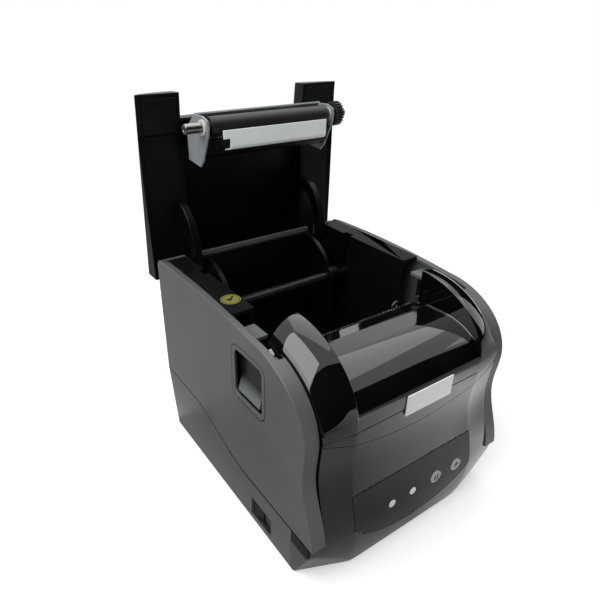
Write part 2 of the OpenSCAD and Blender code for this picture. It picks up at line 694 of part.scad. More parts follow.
lever_out = half - panel_t - 1.6;
lever_in = lever_out - 2;
pad_reach = half - 1.4;
module release_lever() color([0.3, 0.31, 0.33]) housing() {
    along_x(lever_in, lever_out) polygon([[window_y - 15.5, window_z - 15], [window_y + 12, window_z - 15],
        [window_y + 15.5, window_z + 4], [window_y + 15.5, window_z + 24], [window_y + 2, window_z + 24],
        [window_y - 15.5, window_z + 15]]);
    difference() {
        box(hook_in + hook_t, lever_in, hook_y - 4, hook_y + 8, window_z - 15, window_z - 8);
        rod_x(hook_in, hook_in + hook_t + 1.4, hook_y, hook_z, pivot_d + 3);
    }
    box(hook_in + hook_t + 2, lever_in, window_y + 2, window_y + 15.5, window_z + 22, window_z + 24);
    intersection() {
        box(lever_out, pad_reach, window_y - 9.4, window_y + 12.4, window_z - 13.2, window_z - 1);
        translate([0, window_y + 20, window_z]) rotate([90, 0, 0]) linear_extrude(40)
            polygon([[lever_out - 1, -14], [pad_reach, -14], [pad_reach, -12.4],
                [lever_out, -1.6], [lever_out - 1, -1.6]]);
    }
}
module release_lever_right() release_lever();
module release_lever_left() mirror([1, 0, 0]) release_lever();

// ---- paper well ----

module roll_spindle() color([0.3, 0.31, 0.33]) housing() {
    rod_x(-well_half - wall, well_half + wall, spindle_y, spindle_z, spindle_d);
}

function wing_arc() = [for (t = up(188, 84, 12)) [spindle_y + 30 + 33 * cos(t), spindle_z - 4 + 29 * sin(t)]];
guide_x = paper_w / 2 + 0.5;
module paper_guide() color([0.1, 0.1, 0.11]) housing() difference() {
    union() {
        rod_x(guide_x, guide_x + 7, spindle_y, spindle_z, 14);
        intersection() {
            along_x(guide_x, guide_x + guide_t) polygon(concat(wing_arc(),
                [[-9.5, spindle_z + 20], [-9.5, spindle_z - 24], [spindle_y - 7, spindle_z - 24]]));
            box(0, half, -body_d, -7, 0, rim_h - 1);
        }
    }
    rod_x(guide_x - 1, guide_x + 8, spindle_y, spindle_z, spindle_d + 2 * run);
}
module paper_guide_right() paper_guide();
module paper_guide_left() mirror([1, 0, 0]) paper_guide();

// ---- lid ----

// the arched section, at the lid's tips, lying along the slope of its side edges
function arch(u) = pow(max(0, 1 - pow(u, 3)), 0.55);
module arch_block(inset) translate([0, lid_tip, tip_edge_z]) rotate([90 + lid_slope, 0, 0])
    translate([0, 0, -2 * body_d]) linear_extrude(2.3 * body_d)
        polygon(concat([for (x = up(-1, 1, 36)) [x * (half - inset), lid_crown * arch(abs(x)) - inset]],
            [[half - inset, -60], [-half + inset, -60]]));
function lid_foot(raise) = [[0, lid_bottom + raise], [ledge_front - 0.6, lid_bottom + raise],
    [ledge_front - 2, lid_bottom - 1 + raise], [lid_tip, rim_mouth_z + 0.7 + raise]];
module lid_block(y0, y1, raise) along_x(-half, half) intersection() {
    polygon(concat(lid_foot(raise), [[lid_tip, rim_h + 60], [0, rim_h + 60]]));
    translate([y0, 0]) square([y1 - y0, rim_h + 60]);
}

post_y = [platen_y + 8, platen_y + 17];
module lid_shell() color([0.08, 0.08, 0.09]) lid() {
    difference() {
        intersection() { arch_block(0); lid_block(lid_tip, 0, 0); }
        box(-lip_half, lip_half, lid_tip - 1, lid_tip + lip_set, 0, rim_h + 60);
        intersection() {
            arch_block(wall);
            union() {
                box(-lip_half, lip_half, lid_tip + lip_set + wall, -wall, 0, rim_h + 60);
                both() box(lip_half + wall, half - wall, lid_tip + wall, -wall, 0, rim_h + 60);
            }
        }
    }
    intersection() {
        arch_block(wall / 2);
        for (y = post_y) both() translate([30, y, bracket_top + sheet_t]) cylinder(h = 60, d = 7);
    }
}

module lid_liners() color([0.08, 0.08, 0.09]) lid() both() intersection() {
    along_x(lip_half + wall, half - wall) polygon(concat(
        [for (p = lid_foot(0)) [max(min(p.x, -wall), lid_tip + wall), p.y]],
        reverse([for (p = lid_foot(1.6)) [max(min(p.x, -wall), lid_tip + wall), p.y]])));
    arch_block(wall + 0.05);
}

arm_reach = 42;
arm_drop = 23.5;
arm_bar = 8.5;
function arm_arc(inset) = [for (t = up(0, 90, 12)) [-10 - (arm_reach - inset) * cos(t),
    lid_bottom - (arm_drop - inset) * sin(t)]];
module lid_hinge_arms() color([0.08, 0.08, 0.09]) lid() both() difference() {
    union() {
        rod_x(arm_in, arm_in + arm_t, hinge_y, hinge_z, 9.6);
        along_x(arm_in, arm_in + arm_t) polygon(concat(arm_arc(0), [[hinge_y + 3, hinge_z - 3.7],
            [hinge_y, hinge_z]], reverse(arm_arc(arm_bar))));
    }
    rod_x(arm_in - 1, arm_in + arm_t + 1, hinge_y, hinge_z, hinge_pin_d + 2 * run);
}
module hinge_pins() color([0.66, 0.67, 0.69]) housing() both()
    rod_x(arm_in + 0.4, well_half + wall + 0.8, hinge_y, hinge_z, hinge_pin_d);

bracket_top = platen_z + 21;
ear_out = bracket_w / 2;
ear_in = ear_out - sheet_t;
bush_d = 9;
roof = [[platen_y - 6.2, platen_z + 9.4], [platen_y + 3, bracket_top], [platen_y + 22, bracket_top]];
module platen_bracket() color([0.7, 0.73, 0.76]) lid() {
    difference() {
        both() along_x(ear_in, ear_out) polygon(concat(roof, [[platen_y + 24, platen_z + 7],
            [platen_y + 20, platen_z + 3], [platen_y + 4, platen_z - 5.6], [platen_y - 4, platen_z - 5.6],
            [platen_y - 6.2, platen_z + 1]]));
        rod_x(-half, half, platen_y, platen_z, bush_d);
    }
    difference() {
        along_x(-ear_out, ear_out) polygon(band(roof, -sheet_t, 0));
        for (y = post_y) both() translate([30, y, 0]) cylinder(h = 300, d = 3.2);
    }
}
module bracket_screws() color([0.62, 0.63, 0.65]) lid() for (y = post_y) both() {
    translate([30, y, bracket_top - 2]) cylinder(h = 2, d = 5.6);
    translate([30, y, bracket_top - 0.5]) cylinder(h = sheet_t + 0.5, d = 3);
}

module platen_cover() color([0.09, 0.09, 0.1]) lid() difference() {
    along_x(-ear_in, ear_in) polygon(band([[platen_y + platen_d / 2 + 1.65, platen_z - 3.4],
        [platen_y + 16.4, platen_z + 0.4], [platen_y + 19.4, platen_z + 6]], 0, -2));
    for (x = [-38, -30, 30, 38]) translate([x, platen_y + 12, 0]) cylinder(h = 300, d = 1.8);
}

module guide_plate() color([0.86, 0.88, 0.9]) lid() difference() {
    along_x(-38, 38) polygon(band([[platen_y + 1.6, platen_z - 8.8], [platen_y + 10.6, platen_z - 8.6],
        [platen_y + 12, platen_z - 8.2], [platen_y + 13, platen_z - 7],
        [platen_y + 14.2, platen_z - 1.3]], 0, -0.8));
    box(-39, -33.5, platen_y + 6.5, platen_y + 20, platen_z - 12, platen_z);
}

module platen_bushes() color([0.85, 0.83, 0.78]) lid() both() difference() {
    union() {
        rod_x(ear_in - 0.8, ear_out + 1.2, platen_y, platen_z, bush_d);
    }
    rod_x(ear_in - 2, ear_out + 3, platen_y, platen_z, shaft_d + 2 * run);
}

module platen_shaft() color([0.72, 0.74, 0.76]) lid() difference() {
    rod_x(-shaft_end, shaft_end, platen_y, platen_z, shaft_d);
    rod_x(-shaft_end - 1, -shaft_end + 2.4, platen_y, platen_z, 3);
}
module platen_rubber() color([0.17, 0.17, 0.18]) lid() difference() {
    rod_x(-platen_len / 2, platen_len / 2, platen_y, platen_z, platen_d);
    rod_x(-half, half, platen_y, platen_z, shaft_d);
}
module platen_gear() color([0.08, 0.08, 0.09]) lid()
    gear(gear_x, platen_y, platen_z, platen_teeth, platen_phase, shaft_d, 8.4);

base_tray();
side_panel_left();
side_panel_right();
rear_panel();
inner_frame();
front_hood();
front_band();
front_cover();
panel_overlay();
status_lights();
pause_button();
feed_button();
control_board();
label_plate();
ledge_seal();
switch_body();
power_rocker();
dc_inlet();
usb_port();
drawer_port();
main_board();
board_posts();
rubber_feet();
base_screws();
mech_chassis();
stepper_motor();
motor_pinion();
idler_gear();
idler_axle();
print_head();
head_heatsink();
head_rod();
head_springs();
tear_bar();
latch_pins();
latch_hook_left();
latch_hook_right();
release_lever_left();
release_lever_right();
roll_spindle();
paper_guide_left();
paper_guide_right();
lid_shell();
lid_liners();
lid_hinge_arms();
hinge_pins();
platen_bracket();
bracket_screws();
platen_cover();
guide_plate();
platen_bushes();
platen_shaft();
platen_rubber();
platen_gear();
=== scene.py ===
"""The looks of a desktop receipt printer with its lid open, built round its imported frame."""

import json
import math

import bmesh
import bpy
import numpy as np
from mathutils import Matrix, Vector


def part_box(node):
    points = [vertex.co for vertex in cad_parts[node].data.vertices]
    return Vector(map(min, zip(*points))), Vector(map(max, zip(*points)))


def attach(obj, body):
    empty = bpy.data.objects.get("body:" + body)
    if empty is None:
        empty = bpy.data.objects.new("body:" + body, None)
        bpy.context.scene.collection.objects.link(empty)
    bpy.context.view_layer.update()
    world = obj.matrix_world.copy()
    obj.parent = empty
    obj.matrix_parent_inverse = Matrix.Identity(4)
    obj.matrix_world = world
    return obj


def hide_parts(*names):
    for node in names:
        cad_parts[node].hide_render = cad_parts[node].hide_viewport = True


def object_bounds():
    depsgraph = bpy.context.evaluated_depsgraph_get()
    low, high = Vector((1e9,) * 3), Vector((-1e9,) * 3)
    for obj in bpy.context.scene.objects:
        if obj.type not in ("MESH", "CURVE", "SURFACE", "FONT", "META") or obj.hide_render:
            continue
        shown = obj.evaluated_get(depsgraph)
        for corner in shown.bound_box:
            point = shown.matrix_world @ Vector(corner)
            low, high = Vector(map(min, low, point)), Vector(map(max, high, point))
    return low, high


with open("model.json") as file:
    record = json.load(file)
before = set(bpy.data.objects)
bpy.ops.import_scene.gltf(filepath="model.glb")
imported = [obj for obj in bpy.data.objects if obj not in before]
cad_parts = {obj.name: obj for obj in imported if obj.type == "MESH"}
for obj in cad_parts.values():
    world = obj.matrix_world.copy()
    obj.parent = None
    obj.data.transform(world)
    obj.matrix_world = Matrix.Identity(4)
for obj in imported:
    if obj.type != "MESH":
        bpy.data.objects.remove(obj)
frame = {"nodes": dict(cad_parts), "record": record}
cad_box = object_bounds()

MM = 0.001
EDGE_STEPS = 2  # segments in each rounded edge

# ---- places and sizes, all in metres, most of them read from the frame ----

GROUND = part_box("base_tray")[0].z
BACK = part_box("rear_panel")[1].y
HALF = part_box("side_panel_right")[1].x
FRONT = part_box("front_cover")[0].y
INNER_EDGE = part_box("front_band")[1].x
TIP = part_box("front_hood")[1]
WALL = 2.2 * MM

CHIN_IN = 4 * MM
BULGE_Z = 28 * MM
WAIST_Z = 74 * MM
WAIST_IN = 8.6 * MM
SHOULDER_Z = 101 * MM
SHOULDER_IN = 7 * MM
CREST_Z = 120.5 * MM
MOUTH = FRONT + 62 * MM
CREST_Y = MOUTH - 25 * MM
WING_REAR = MOUTH - 4 * MM
WING_Z = TIP.z - GROUND
RIM_Z = 130.6 * MM
RIM_LOW = 93 * MM
RIM_IN = 10 * MM
RIM_BACK = 2.2 * MM
SKIRT = (2.5 * MM, 4 * MM)  # back and down
WINDOW_Y = MOUTH + 1 * MM
WINDOW_Z = GROUND + 103.4 * MM
WINDOW_SIZE = (30 * MM, 32 * MM)
WINDOW_ROUND = 5 * MM
# the painted shade line round each side window: its distance out from the window, and its fade
WINDOW_LINE = 1.9 * MM
LINE_FADE = (0.45 * MM, 0.2 * MM)  # off the middle of a line: where it ends, where it is full
BAND_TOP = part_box("front_band")[1].z - GROUND + 0.2 * MM
BAND_LOW = 80 * MM
PARTING_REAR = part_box("base_tray")[1].z - GROUND
PARTING = 31 * MM
PARTING_FALL = (BACK - 40 * MM, BACK - 112 * MM)  # the stretch in which the parting comes down
PARTING_FADE = (0.75 * MM, 0.45 * MM)
CREASE = 46.4 * MM
FACET_TURN = math.radians(8)
CREASE_SOFT = 0.7 * MM
CHIN_SOFT = 0.8 * MM
SEAM = 0.3 * MM


def ease(start, end, share):
    """A half cosine wave from start to end as share goes from 0 to 1."""
    return start + (end - start) * (1 - np.cos(np.pi * np.clip(share, 0, 1))) / 2


def front_in(z):
    """How far the front lies behind its foremost line at height z above the underside."""
    chin = CHIN_IN * (1 - np.clip(z / BULGE_Z, 0, 1)) ** 2
    belly = ease(0, WAIST_IN, (z - BULGE_Z) / (WAIST_Z - BULGE_Z))
    chest = ease(0, SHOULDER_IN - WAIST_IN, (z - WAIST_Z) / (SHOULDER_Z - WAIST_Z))
    return chin + belly + chest


def past_crease(x):
    """How far |x| is past the crease, softened: half of d plus the root of d squared and a small square."""
    d = np.abs(x) - CREASE
    return (d + np.sqrt(d * d + CREASE_SOFT**2)) / 2


def turned_back(x, depth):
    """Y of a front surface of that depth at x: flat between the creases, turned back outside them."""
    past = past_crease(x)
    share = np.clip(past / (4 * CREASE_SOFT), 0, 1)
    return FRONT + past * math.tan(FACET_TURN) + depth * (1 + share * (1 / math.cos(FACET_TURN) - 1))


def smile(x):
    """Height of the curved seam under the band: a parabola, low in the middle."""
    return BAND_LOW + (BAND_TOP - 1.4 * MM - BAND_LOW) * np.minimum(1, np.abs(x) / INNER_EDGE) ** 2


# ---- meshes ----


def quads_of(rows, columns):
    """The quads of a grid of points, row by row."""
    index = np.arange(rows * columns).reshape(rows, columns)
    corners = [index[:-1, :-1], index[:-1, 1:], index[1:, 1:], index[1:, :-1]]
    return np.stack(corners, -1).reshape(-1, 4)


def mesh_of(name, points, faces):
    """A smooth-shaded mesh of numpy points and faces."""
    mesh = bpy.data.meshes.new(name)
    mesh.from_pydata(points.reshape(-1, 3).tolist(), [], faces.tolist())
    mesh.validate()
    mesh.shade_smooth()
    return mesh


def sheet_mesh(name, points, keep=None):
    """An open surface over an (n, m, 3) array of points, without the quads where keep is False."""
    quads = quads_of(*points.shape[:2])
    if keep is not None:
        quads = quads[keep.ravel()]
    return mesh_of(name, points, quads)


def loft_mesh(name, rings, sharp, capped=True):
    """A closed body through (n, m, 3) rings of points, its side joining ring to ring. Its ends are capped,
    or, for a band whose last ring lies on its first, left to meet."""
    count, around = rings.shape[:2]
    index = np.arange(count * around).reshape(count, around)
    following = np.roll(index, -1, axis=1)
    side = np.stack([index[:-1], following[:-1], following[1:], index[1:]], -1).reshape(-1, 4)
    points, faces = rings.reshape(-1, 3), side.tolist()
    if capped:
        middle = count * around + np.array([0, 1])
        first = np.stack([following[0], index[0], np.full(around, middle[0])], -1)
        last = np.stack([index[-1], following[-1], np.full(around, middle[1])], -1)
        points = np.vstack([points, rings[0].mean(0), rings[-1].mean(0)])
        faces += first.tolist() + last.tolist()
    mesh = bpy.data.meshes.new(name)
    mesh.from_pydata(points.tolist(), [], faces)
    mesh.shade_smooth()
    face_outwards(mesh)
    mesh.set_sharp_from_angle(angle=math.radians(sharp))
    return mesh


def face_outwards(mesh):
    """Merges the doubles of a closed mesh and makes its normals point out."""
    work = bmesh.new()
    work.from_mesh(mesh)
    bmesh.ops.remove_doubles(work, verts=work.verts, dist=1e-7)
    bmesh.ops.recalc_face_normals(work, faces=work.faces)
    work.to_mesh(mesh)
    work.free()


def piece(name, mesh, body, material, slot, replaces=(), wall=0, round_edge=0, sharp=35):
    """A new object on its CAD body: the mesh, a wall grown inwards, its edges rounded."""
    made = bpy.data.objects.new(name, mesh)
    bpy.context.scene.collection.objects.link(made)
    mesh.materials.append(material)
    if wall:
        grown = made.modifiers.new("wall", "SOLIDIFY")
        grown.thickness = wall
        grown.offset = -1
        grown.use_even_offset = True
    if round_edge:
        rounded = made.modifiers.new("rounded", "BEVEL")
        rounded.width = round_edge
        rounded.segments = EDGE_STEPS
        rounded.limit_method = "ANGLE"
        rounded.angle_limit = math.radians(sharp)
        rounded.use_clamp_overlap = True
    evened = made.modifiers.new("evened", "WEIGHTED_NORMAL")
    evened.keep_sharp = True
    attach(made, body)
    if replaces:
        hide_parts(*replaces)
    return made


def body_with(node):
    """The CAD body that a node belongs to."""
    groups = frame["record"]["behaviour"]["bodies"]
    return next(name for name, members in groups.items() if node in members)


def slot_of(node):
    """The material slot that the record gives a node."""
    return next(p["material_slot"] for p in frame["record"]["subparts"] if p["node"] == node)


def softened(node, material, round_edge, sharp=35, clamped=True):
    """A copy of a node in its place, its doubles merged, its flat faces joined and its edges rounded.
    Clamped stops a rounding where the next one starts, over the whole mesh."""
    work = bmesh.new()
    work.from_mesh(frame["nodes"][node].data)
    bmesh.ops.remove_doubles(work, verts=work.verts, dist=2e-6)
    bmesh.ops.dissolve_limit(work, angle_limit=math.radians(0.4), verts=work.verts, edges=work.edges)
    mesh = bpy.data.meshes.new(node + "_soft")
    work.to_mesh(mesh)
    work.free()
    mesh.shade_smooth()
    mesh.set_sharp_from_angle(angle=math.radians(sharp))
    made = piece(node + "_soft", mesh, body_with(node), material, slot_of(node), [node],
                 round_edge=round_edge, sharp=sharp)
    made.modifiers["rounded"].use_clamp_overlap = clamped
    return made


# ---- materials ----


def group(name, inputs, *outputs):
    """A shader node group of float sockets, the inputs with their values, and its two end nodes."""
    made = bpy.data.node_groups.new(name, "ShaderNodeTree")
    for label, value in inputs.items():
        socket = made.interface.new_socket(label, in_out="INPUT", socket_type="NodeSocketFloat")
        socket.default_value = value
    for label in outputs:
        made.interface.new_socket(label, in_out="OUTPUT", socket_type="NodeSocketFloat")
    return made, made.nodes.new("NodeGroupInput"), made.nodes.new("NodeGroupOutput")


def calc(tree, operation, a, b=None, clamp=False):
    """A Math node of two sockets or numbers; gives its output."""
    node = tree.nodes.new("ShaderNodeMath")
    node.operation = operation
    node.use_clamp = clamp
    for i, value in enumerate([a] if b is None else [a, b]):
        if isinstance(value, (int, float)):
            node.inputs[i].default_value = value
        else:
            tree.links.new(value, node.inputs[i])
    return node.outputs[0]


def noise(tree, scale, detail=2, roughness=0.5, stretch=(1, 1, 1)):
    """Noise on Object coordinates; scale may be a socket."""
    place = tree.nodes.new("ShaderNodeTexCoord")
    mapping = tree.nodes.new("ShaderNodeMapping")
    mapping.inputs["Scale"].default_value = stretch
    node = tree.nodes.new("ShaderNodeTexNoise")
    node.inputs["Detail"].default_value = detail
    node.inputs["Roughness"].default_value = roughness
    tree.links.new(place.outputs["Object"], mapping.inputs["Vector"])
    tree.links.new(mapping.outputs["Vector"], node.inputs["Vector"])
    if isinstance(scale, (int, float)):
        node.inputs["Scale"].default_value = scale
    else:
        tree.links.new(scale, node.inputs["Scale"])
    return node.outputs["Fac"]


def object_axes(tree):
    """The X, Y and Z outputs of the Object coordinates."""
    place = tree.nodes.new("ShaderNodeTexCoord")
    parts = tree.nodes.new("ShaderNodeSeparateXYZ")
    tree.links.new(place.outputs["Object"], parts.inputs[0])
    return parts.outputs


def ramp(tree, value, low, high):
    """0 where value is at low, 1 at high, straight between and held outside; low may be the larger."""
    node = tree.nodes.new("ShaderNodeMapRange")
    node.inputs["From Min"].default_value = low
    node.inputs["From Max"].default_value = high
    tree.links.new(value, node.inputs["Value"])
    return node.outputs["Result"]


def edge_wear_group():
    """A mask along rubbed edges: where the rounded normal leaves the true one, broken up by noise."""
    tree, given, out = group("edge wear", {"Radius": 0.6 * MM}, "Mask")
    rounded = tree.nodes.new("ShaderNodeBevel")
    rounded.samples = 4
    true = tree.nodes.new("ShaderNodeNewGeometry")
    dot = tree.nodes.new("ShaderNodeVectorMath")
    dot.operation = "DOT_PRODUCT"
    tree.links.new(given.outputs["Radius"], rounded.inputs["Radius"])
    tree.links.new(rounded.outputs["Normal"], dot.inputs[0])
    tree.links.new(true.outputs["Normal"], dot.inputs[1])
    edge = ramp(tree, calc(tree, "SUBTRACT", 1, dot.outputs["Value"]), 0.02, 0.3)
    broken = ramp(tree, noise(tree, 160, 3), 0.3, 0.65)
    tree.links.new(calc(tree, "MULTIPLY", edge, broken), out.inputs["Mask"])
    return tree


def moulded_group():
    """The grain of moulded plastic: a fine pitted height, and a broad handled unevenness."""
    tree, given, out = group("moulded grain", {"Grain": 1400}, "Height", "Handled")
    fine = noise(tree, given.outputs["Grain"], 3, 0.6)
    tree.links.new(ramp(tree, fine, 0.35, 0.65), out.inputs["Height"])
    broad = noise(tree, 18, 3, 0.55)
    tree.links.new(ramp(tree, broad, 0.3, 0.7), out.inputs["Handled"])
    return tree


def dust_group():
    """Fine dust: specks and a thin veil on what faces up."""
    tree, given, out = group("dust", {"Amount": 0.5}, "Mask")
    true = tree.nodes.new("ShaderNodeNewGeometry")
    parts = tree.nodes.new("ShaderNodeSeparateXYZ")
    tree.links.new(true.outputs["Normal"], parts.inputs[0])
    upward = ramp(tree, parts.outputs["Z"], 0.1, 1.0)
    specks = ramp(tree, noise(tree, 900, 2, 0.7), 0.68, 0.8)
    veil = calc(tree, "MULTIPLY", ramp(tree, noise(tree, 40, 4, 0.6), 0.35, 0.75), 0.25)
    both = calc(tree, "ADD", specks, veil)
    tree.links.new(calc(tree, "MULTIPLY", calc(tree, "MULTIPLY", both, upward),
                        given.outputs["Amount"], clamp=True), out.inputs["Mask"])
    return tree


EDGE_WEAR, MOULDED, DUST = edge_wear_group(), moulded_group(), dust_group()


def side_lines_and_recess_shade_group():
    """A mask along the thin dark lines of the sides, from Object coordinates: round the windows, where the
    signed distance to a rounded rectangle is near WINDOW_LINE, a painted shade that stands for the shadow
    in the recess round each window's frame; and along the parting above the tray, whose height is a half
    cosine wave of Y, a dark joint."""
    tree, _, out = group("side lines and recess shade", {}, "Mask")
    axes = object_axes(tree)
    past = []
    for axis, centre, size in (("Y", WINDOW_Y, WINDOW_SIZE[0]), ("Z", WINDOW_Z, WINDOW_SIZE[1])):
        off = calc(tree, "ABSOLUTE", calc(tree, "SUBTRACT", axes[axis], centre))
        past.append(calc(tree, "SUBTRACT", off, size / 2 - WINDOW_ROUND))
    corner = [calc(tree, "MAXIMUM", value, 0.0) for value in past]
    squares = [calc(tree, "MULTIPLY", value, value) for value in corner]
    far = calc(tree, "SQRT", calc(tree, "ADD", *squares))
    inside = calc(tree, "MINIMUM", calc(tree, "MAXIMUM", *past), 0.0)
    distance = calc(tree, "SUBTRACT", calc(tree, "ADD", far, inside), WINDOW_ROUND + WINDOW_LINE)
    # painted shade: the shadow line in the recess round the window
    line = ramp(tree, calc(tree, "ABSOLUTE", distance), *LINE_FADE)
    share = ramp(tree, axes["Y"], *PARTING_FALL)
    wave = calc(tree, "COSINE", calc(tree, "MULTIPLY", share, math.pi))
    half_drop = (PARTING_REAR - PARTING) / 2
    height = calc(tree, "ADD", calc(tree, "MULTIPLY", wave, half_drop), GROUND + PARTING + half_drop)
    off = calc(tree, "ABSOLUTE", calc(tree, "SUBTRACT", axes["Z"], height))
    parting = ramp(tree, off, *PARTING_FADE)
    tree.links.new(calc(tree, "MAXIMUM", line, parting), out.inputs["Mask"])
    return tree


def place_group(tree, made, **values):
    """Puts a shader group into a material with its own values."""
    node = tree.nodes.new("ShaderNodeGroup")
    node.node_tree = made
    for label, value in values.items():
        node.inputs[label].default_value = value
    return node


def mixed(tree, share, a, b):
    """Colour a where share is 0 and b where it is 1."""
    node = tree.nodes.new("ShaderNodeMix")
    node.data_type = "RGBA"
    tree.links.new(share, node.inputs["Factor"])
    for socket, value in ((node.inputs[6], a), (node.inputs[7], b)):
        if isinstance(value, tuple):
            socket.default_value = (*value, 1)
        else:
            tree.links.new(value, socket)
    return node.outputs[2]


def start_material(name):
    """A new node material with its Principled BSDF."""
    material = bpy.data.materials.new(name)
    material.use_nodes = True
    return material, material.node_tree, material.node_tree.nodes["Principled BSDF"]


def bump(tree, shader, height, strength, distance):
    """Feeds a height to the shader's normal."""
    node = tree.nodes.new("ShaderNodeBump")
    node.inputs["Strength"].default_value = strength
    node.inputs["Distance"].default_value = distance
    tree.links.new(height, node.inputs["Height"])
    tree.links.new(node.outputs["Normal"], shader.inputs["Normal"])


DUST_GREY = (0.32, 0.31, 0.3)
JOINT_AND_SHADE_BLACK = (0.002, 0.002, 0.002)
# painted shade far inside the side window: its black, and the heights over which it fades out below the
# window's top
PAINTED_SHADE_BLACK = (0.004, 0.004, 0.0045)
PAINTED_SHADE_TOP = (WINDOW_Z + 18 * MM, WINDOW_Z + 16 * MM)
PIT_DEPTH = 0.04 * MM
SCRATCH_DEPTH = 0.03 * MM
RUBBED = 0.6 * MM
METAL_RUBBED = 0.4 * MM
SPANGLES = 260


def plastic(name, colour, worn, rough, grain=1400, pits=0.25, dust=0.3, coat=0.0, specular=0.5,
            joint_and_shade_lines=None, painted_shade_depths=None):
    """Moulded plastic: pitted grain, handled patches in its colour and roughness, paler rubbed edges and a
    little dust. The lines group is a group whose mask turns it black, for dark joints and painted recess
    shade;
    the shade depths give the |X| at which painted shade makes it black and the |X| from which it keeps its
    colour, below the top of the window."""
    material, tree, shader = start_material(name)
    moulded = place_group(tree, MOULDED, Grain=grain)
    wear = place_group(tree, EDGE_WEAR, Radius=RUBBED)
    dusty = place_group(tree, DUST, Amount=dust)
    darker = tuple(0.82 * c for c in colour)
    surface = mixed(tree, moulded.outputs["Handled"], darker, colour)
    surface = mixed(tree, wear.outputs["Mask"], surface, worn)
    surface = mixed(tree, dusty.outputs["Mask"], surface, DUST_GREY)
    if joint_and_shade_lines:
        # dark joints, and painted shade in the recess round the windows
        surface = mixed(tree, place_group(tree, joint_and_shade_lines).outputs["Mask"], surface, JOINT_AND_SHADE_BLACK)
    # painted shade: black where the piece lies far in behind the side window, below its top
    if painted_shade_depths:
        axes = object_axes(tree)
        sunk = ramp(tree, calc(tree, "ABSOLUTE", axes["X"]), painted_shade_depths[1], painted_shade_depths[0])
        sunk = calc(tree, "MULTIPLY", sunk, ramp(tree, axes["Z"], *PAINTED_SHADE_TOP))
        surface = mixed(tree, sunk, surface, PAINTED_SHADE_BLACK)
    tree.links.new(surface, shader.inputs["Base Color"])
    patchy = calc(tree, "MULTIPLY", moulded.outputs["Handled"], 0.16 * rough)
    dusted = calc(tree, "MULTIPLY", dusty.outputs["Mask"], 0.5)
    tree.links.new(calc(tree, "ADD", calc(tree, "ADD", patchy, rough * 0.92), dusted),
                   shader.inputs["Roughness"])
    shader.inputs["Specular IOR Level"].default_value = specular
    shader.inputs["Coat Weight"].default_value = coat
    shader.inputs["Coat Roughness"].default_value = 0.03
    bump(tree, shader, moulded.outputs["Height"], pits, PIT_DEPTH)
    return material


def metal(name, colour, rough, stretch=(30, 900, 900), scratch=0.25, spangle=0.0):
    """Sheet or turned metal: brushed lines, uneven polish and, if wanted, zinc spangles."""
    material, tree, shader = start_material(name)
    lines = noise(tree, 1, 3, 0.6, stretch)
    broad = ramp(tree, noise(tree, 60, 3, 0.6), 0.3, 0.7)
    wear = place_group(tree, EDGE_WEAR, Radius=METAL_RUBBED)
    shade = tuple(0.78 * c for c in colour)
    surface = mixed(tree, calc(tree, "MULTIPLY", broad, 0.6), colour, shade)
    if spangle:
        cells = tree.nodes.new("ShaderNodeTexVoronoi")
        place = tree.nodes.new("ShaderNodeTexCoord")
        cells.inputs["Scale"].default_value = SPANGLES
        tree.links.new(place.outputs["Object"], cells.inputs["Vector"])
        grey = tree.nodes.new("ShaderNodeRGBToBW")
        tree.links.new(cells.outputs["Color"], grey.inputs["Color"])
        surface = mixed(tree, calc(tree, "MULTIPLY", grey.outputs["Val"], spangle), surface, shade)
    surface = mixed(tree, calc(tree, "MULTIPLY", wear.outputs["Mask"], 0.5), surface, (0.93, 0.93, 0.94))
    tree.links.new(surface, shader.inputs["Base Color"])
    shader.inputs["Metallic"].default_value = 1
    tree.links.new(calc(tree, "ADD", calc(tree, "MULTIPLY", lines, 0.22), rough - 0.1),
                   shader.inputs["Roughness"])
    bump(tree, shader, lines, scratch, SCRATCH_DEPTH)
    return material


SATIN = ((0.086, 0.092, 0.0935), (0.135, 0.14, 0.143), 0.4, 1500, 0.35)
CHARCOAL = plastic("satin charcoal", *SATIN)
# the panels' charcoal, with dark joints and a painted shade line round each window
PANEL = plastic("panel charcoal with painted recess shade", *SATIN, joint_and_shade_lines=side_lines_and_recess_shade_group())
GLOSS = plastic("piano black", (0.0022, 0.0024, 0.003), (0.014, 0.014, 0.016), 0.04, 500, 0.02, 0.03,
                1.0, specular=0.2)
INNER = plastic("inner black", (0.0022, 0.0024, 0.003), (0.025, 0.026, 0.028), 0.4, 1300, 0.3, 0.06,
                specular=0.22)
LID_BLACK = plastic("lid black", (0.0016, 0.0018, 0.0024), (0.02, 0.021, 0.023), 0.36, 1300, 0.3,
                    0.05, specular=0.2)
OVERLAY = plastic("overlay film", (0.016, 0.018, 0.0185), (0.04, 0.04, 0.042), 0.27, 2200, 0.18,
                  0.06, specular=0.3)
BUTTON = plastic("button grey", (0.36, 0.375, 0.38), (0.5, 0.5, 0.5), 0.4, 1600, 0.2)
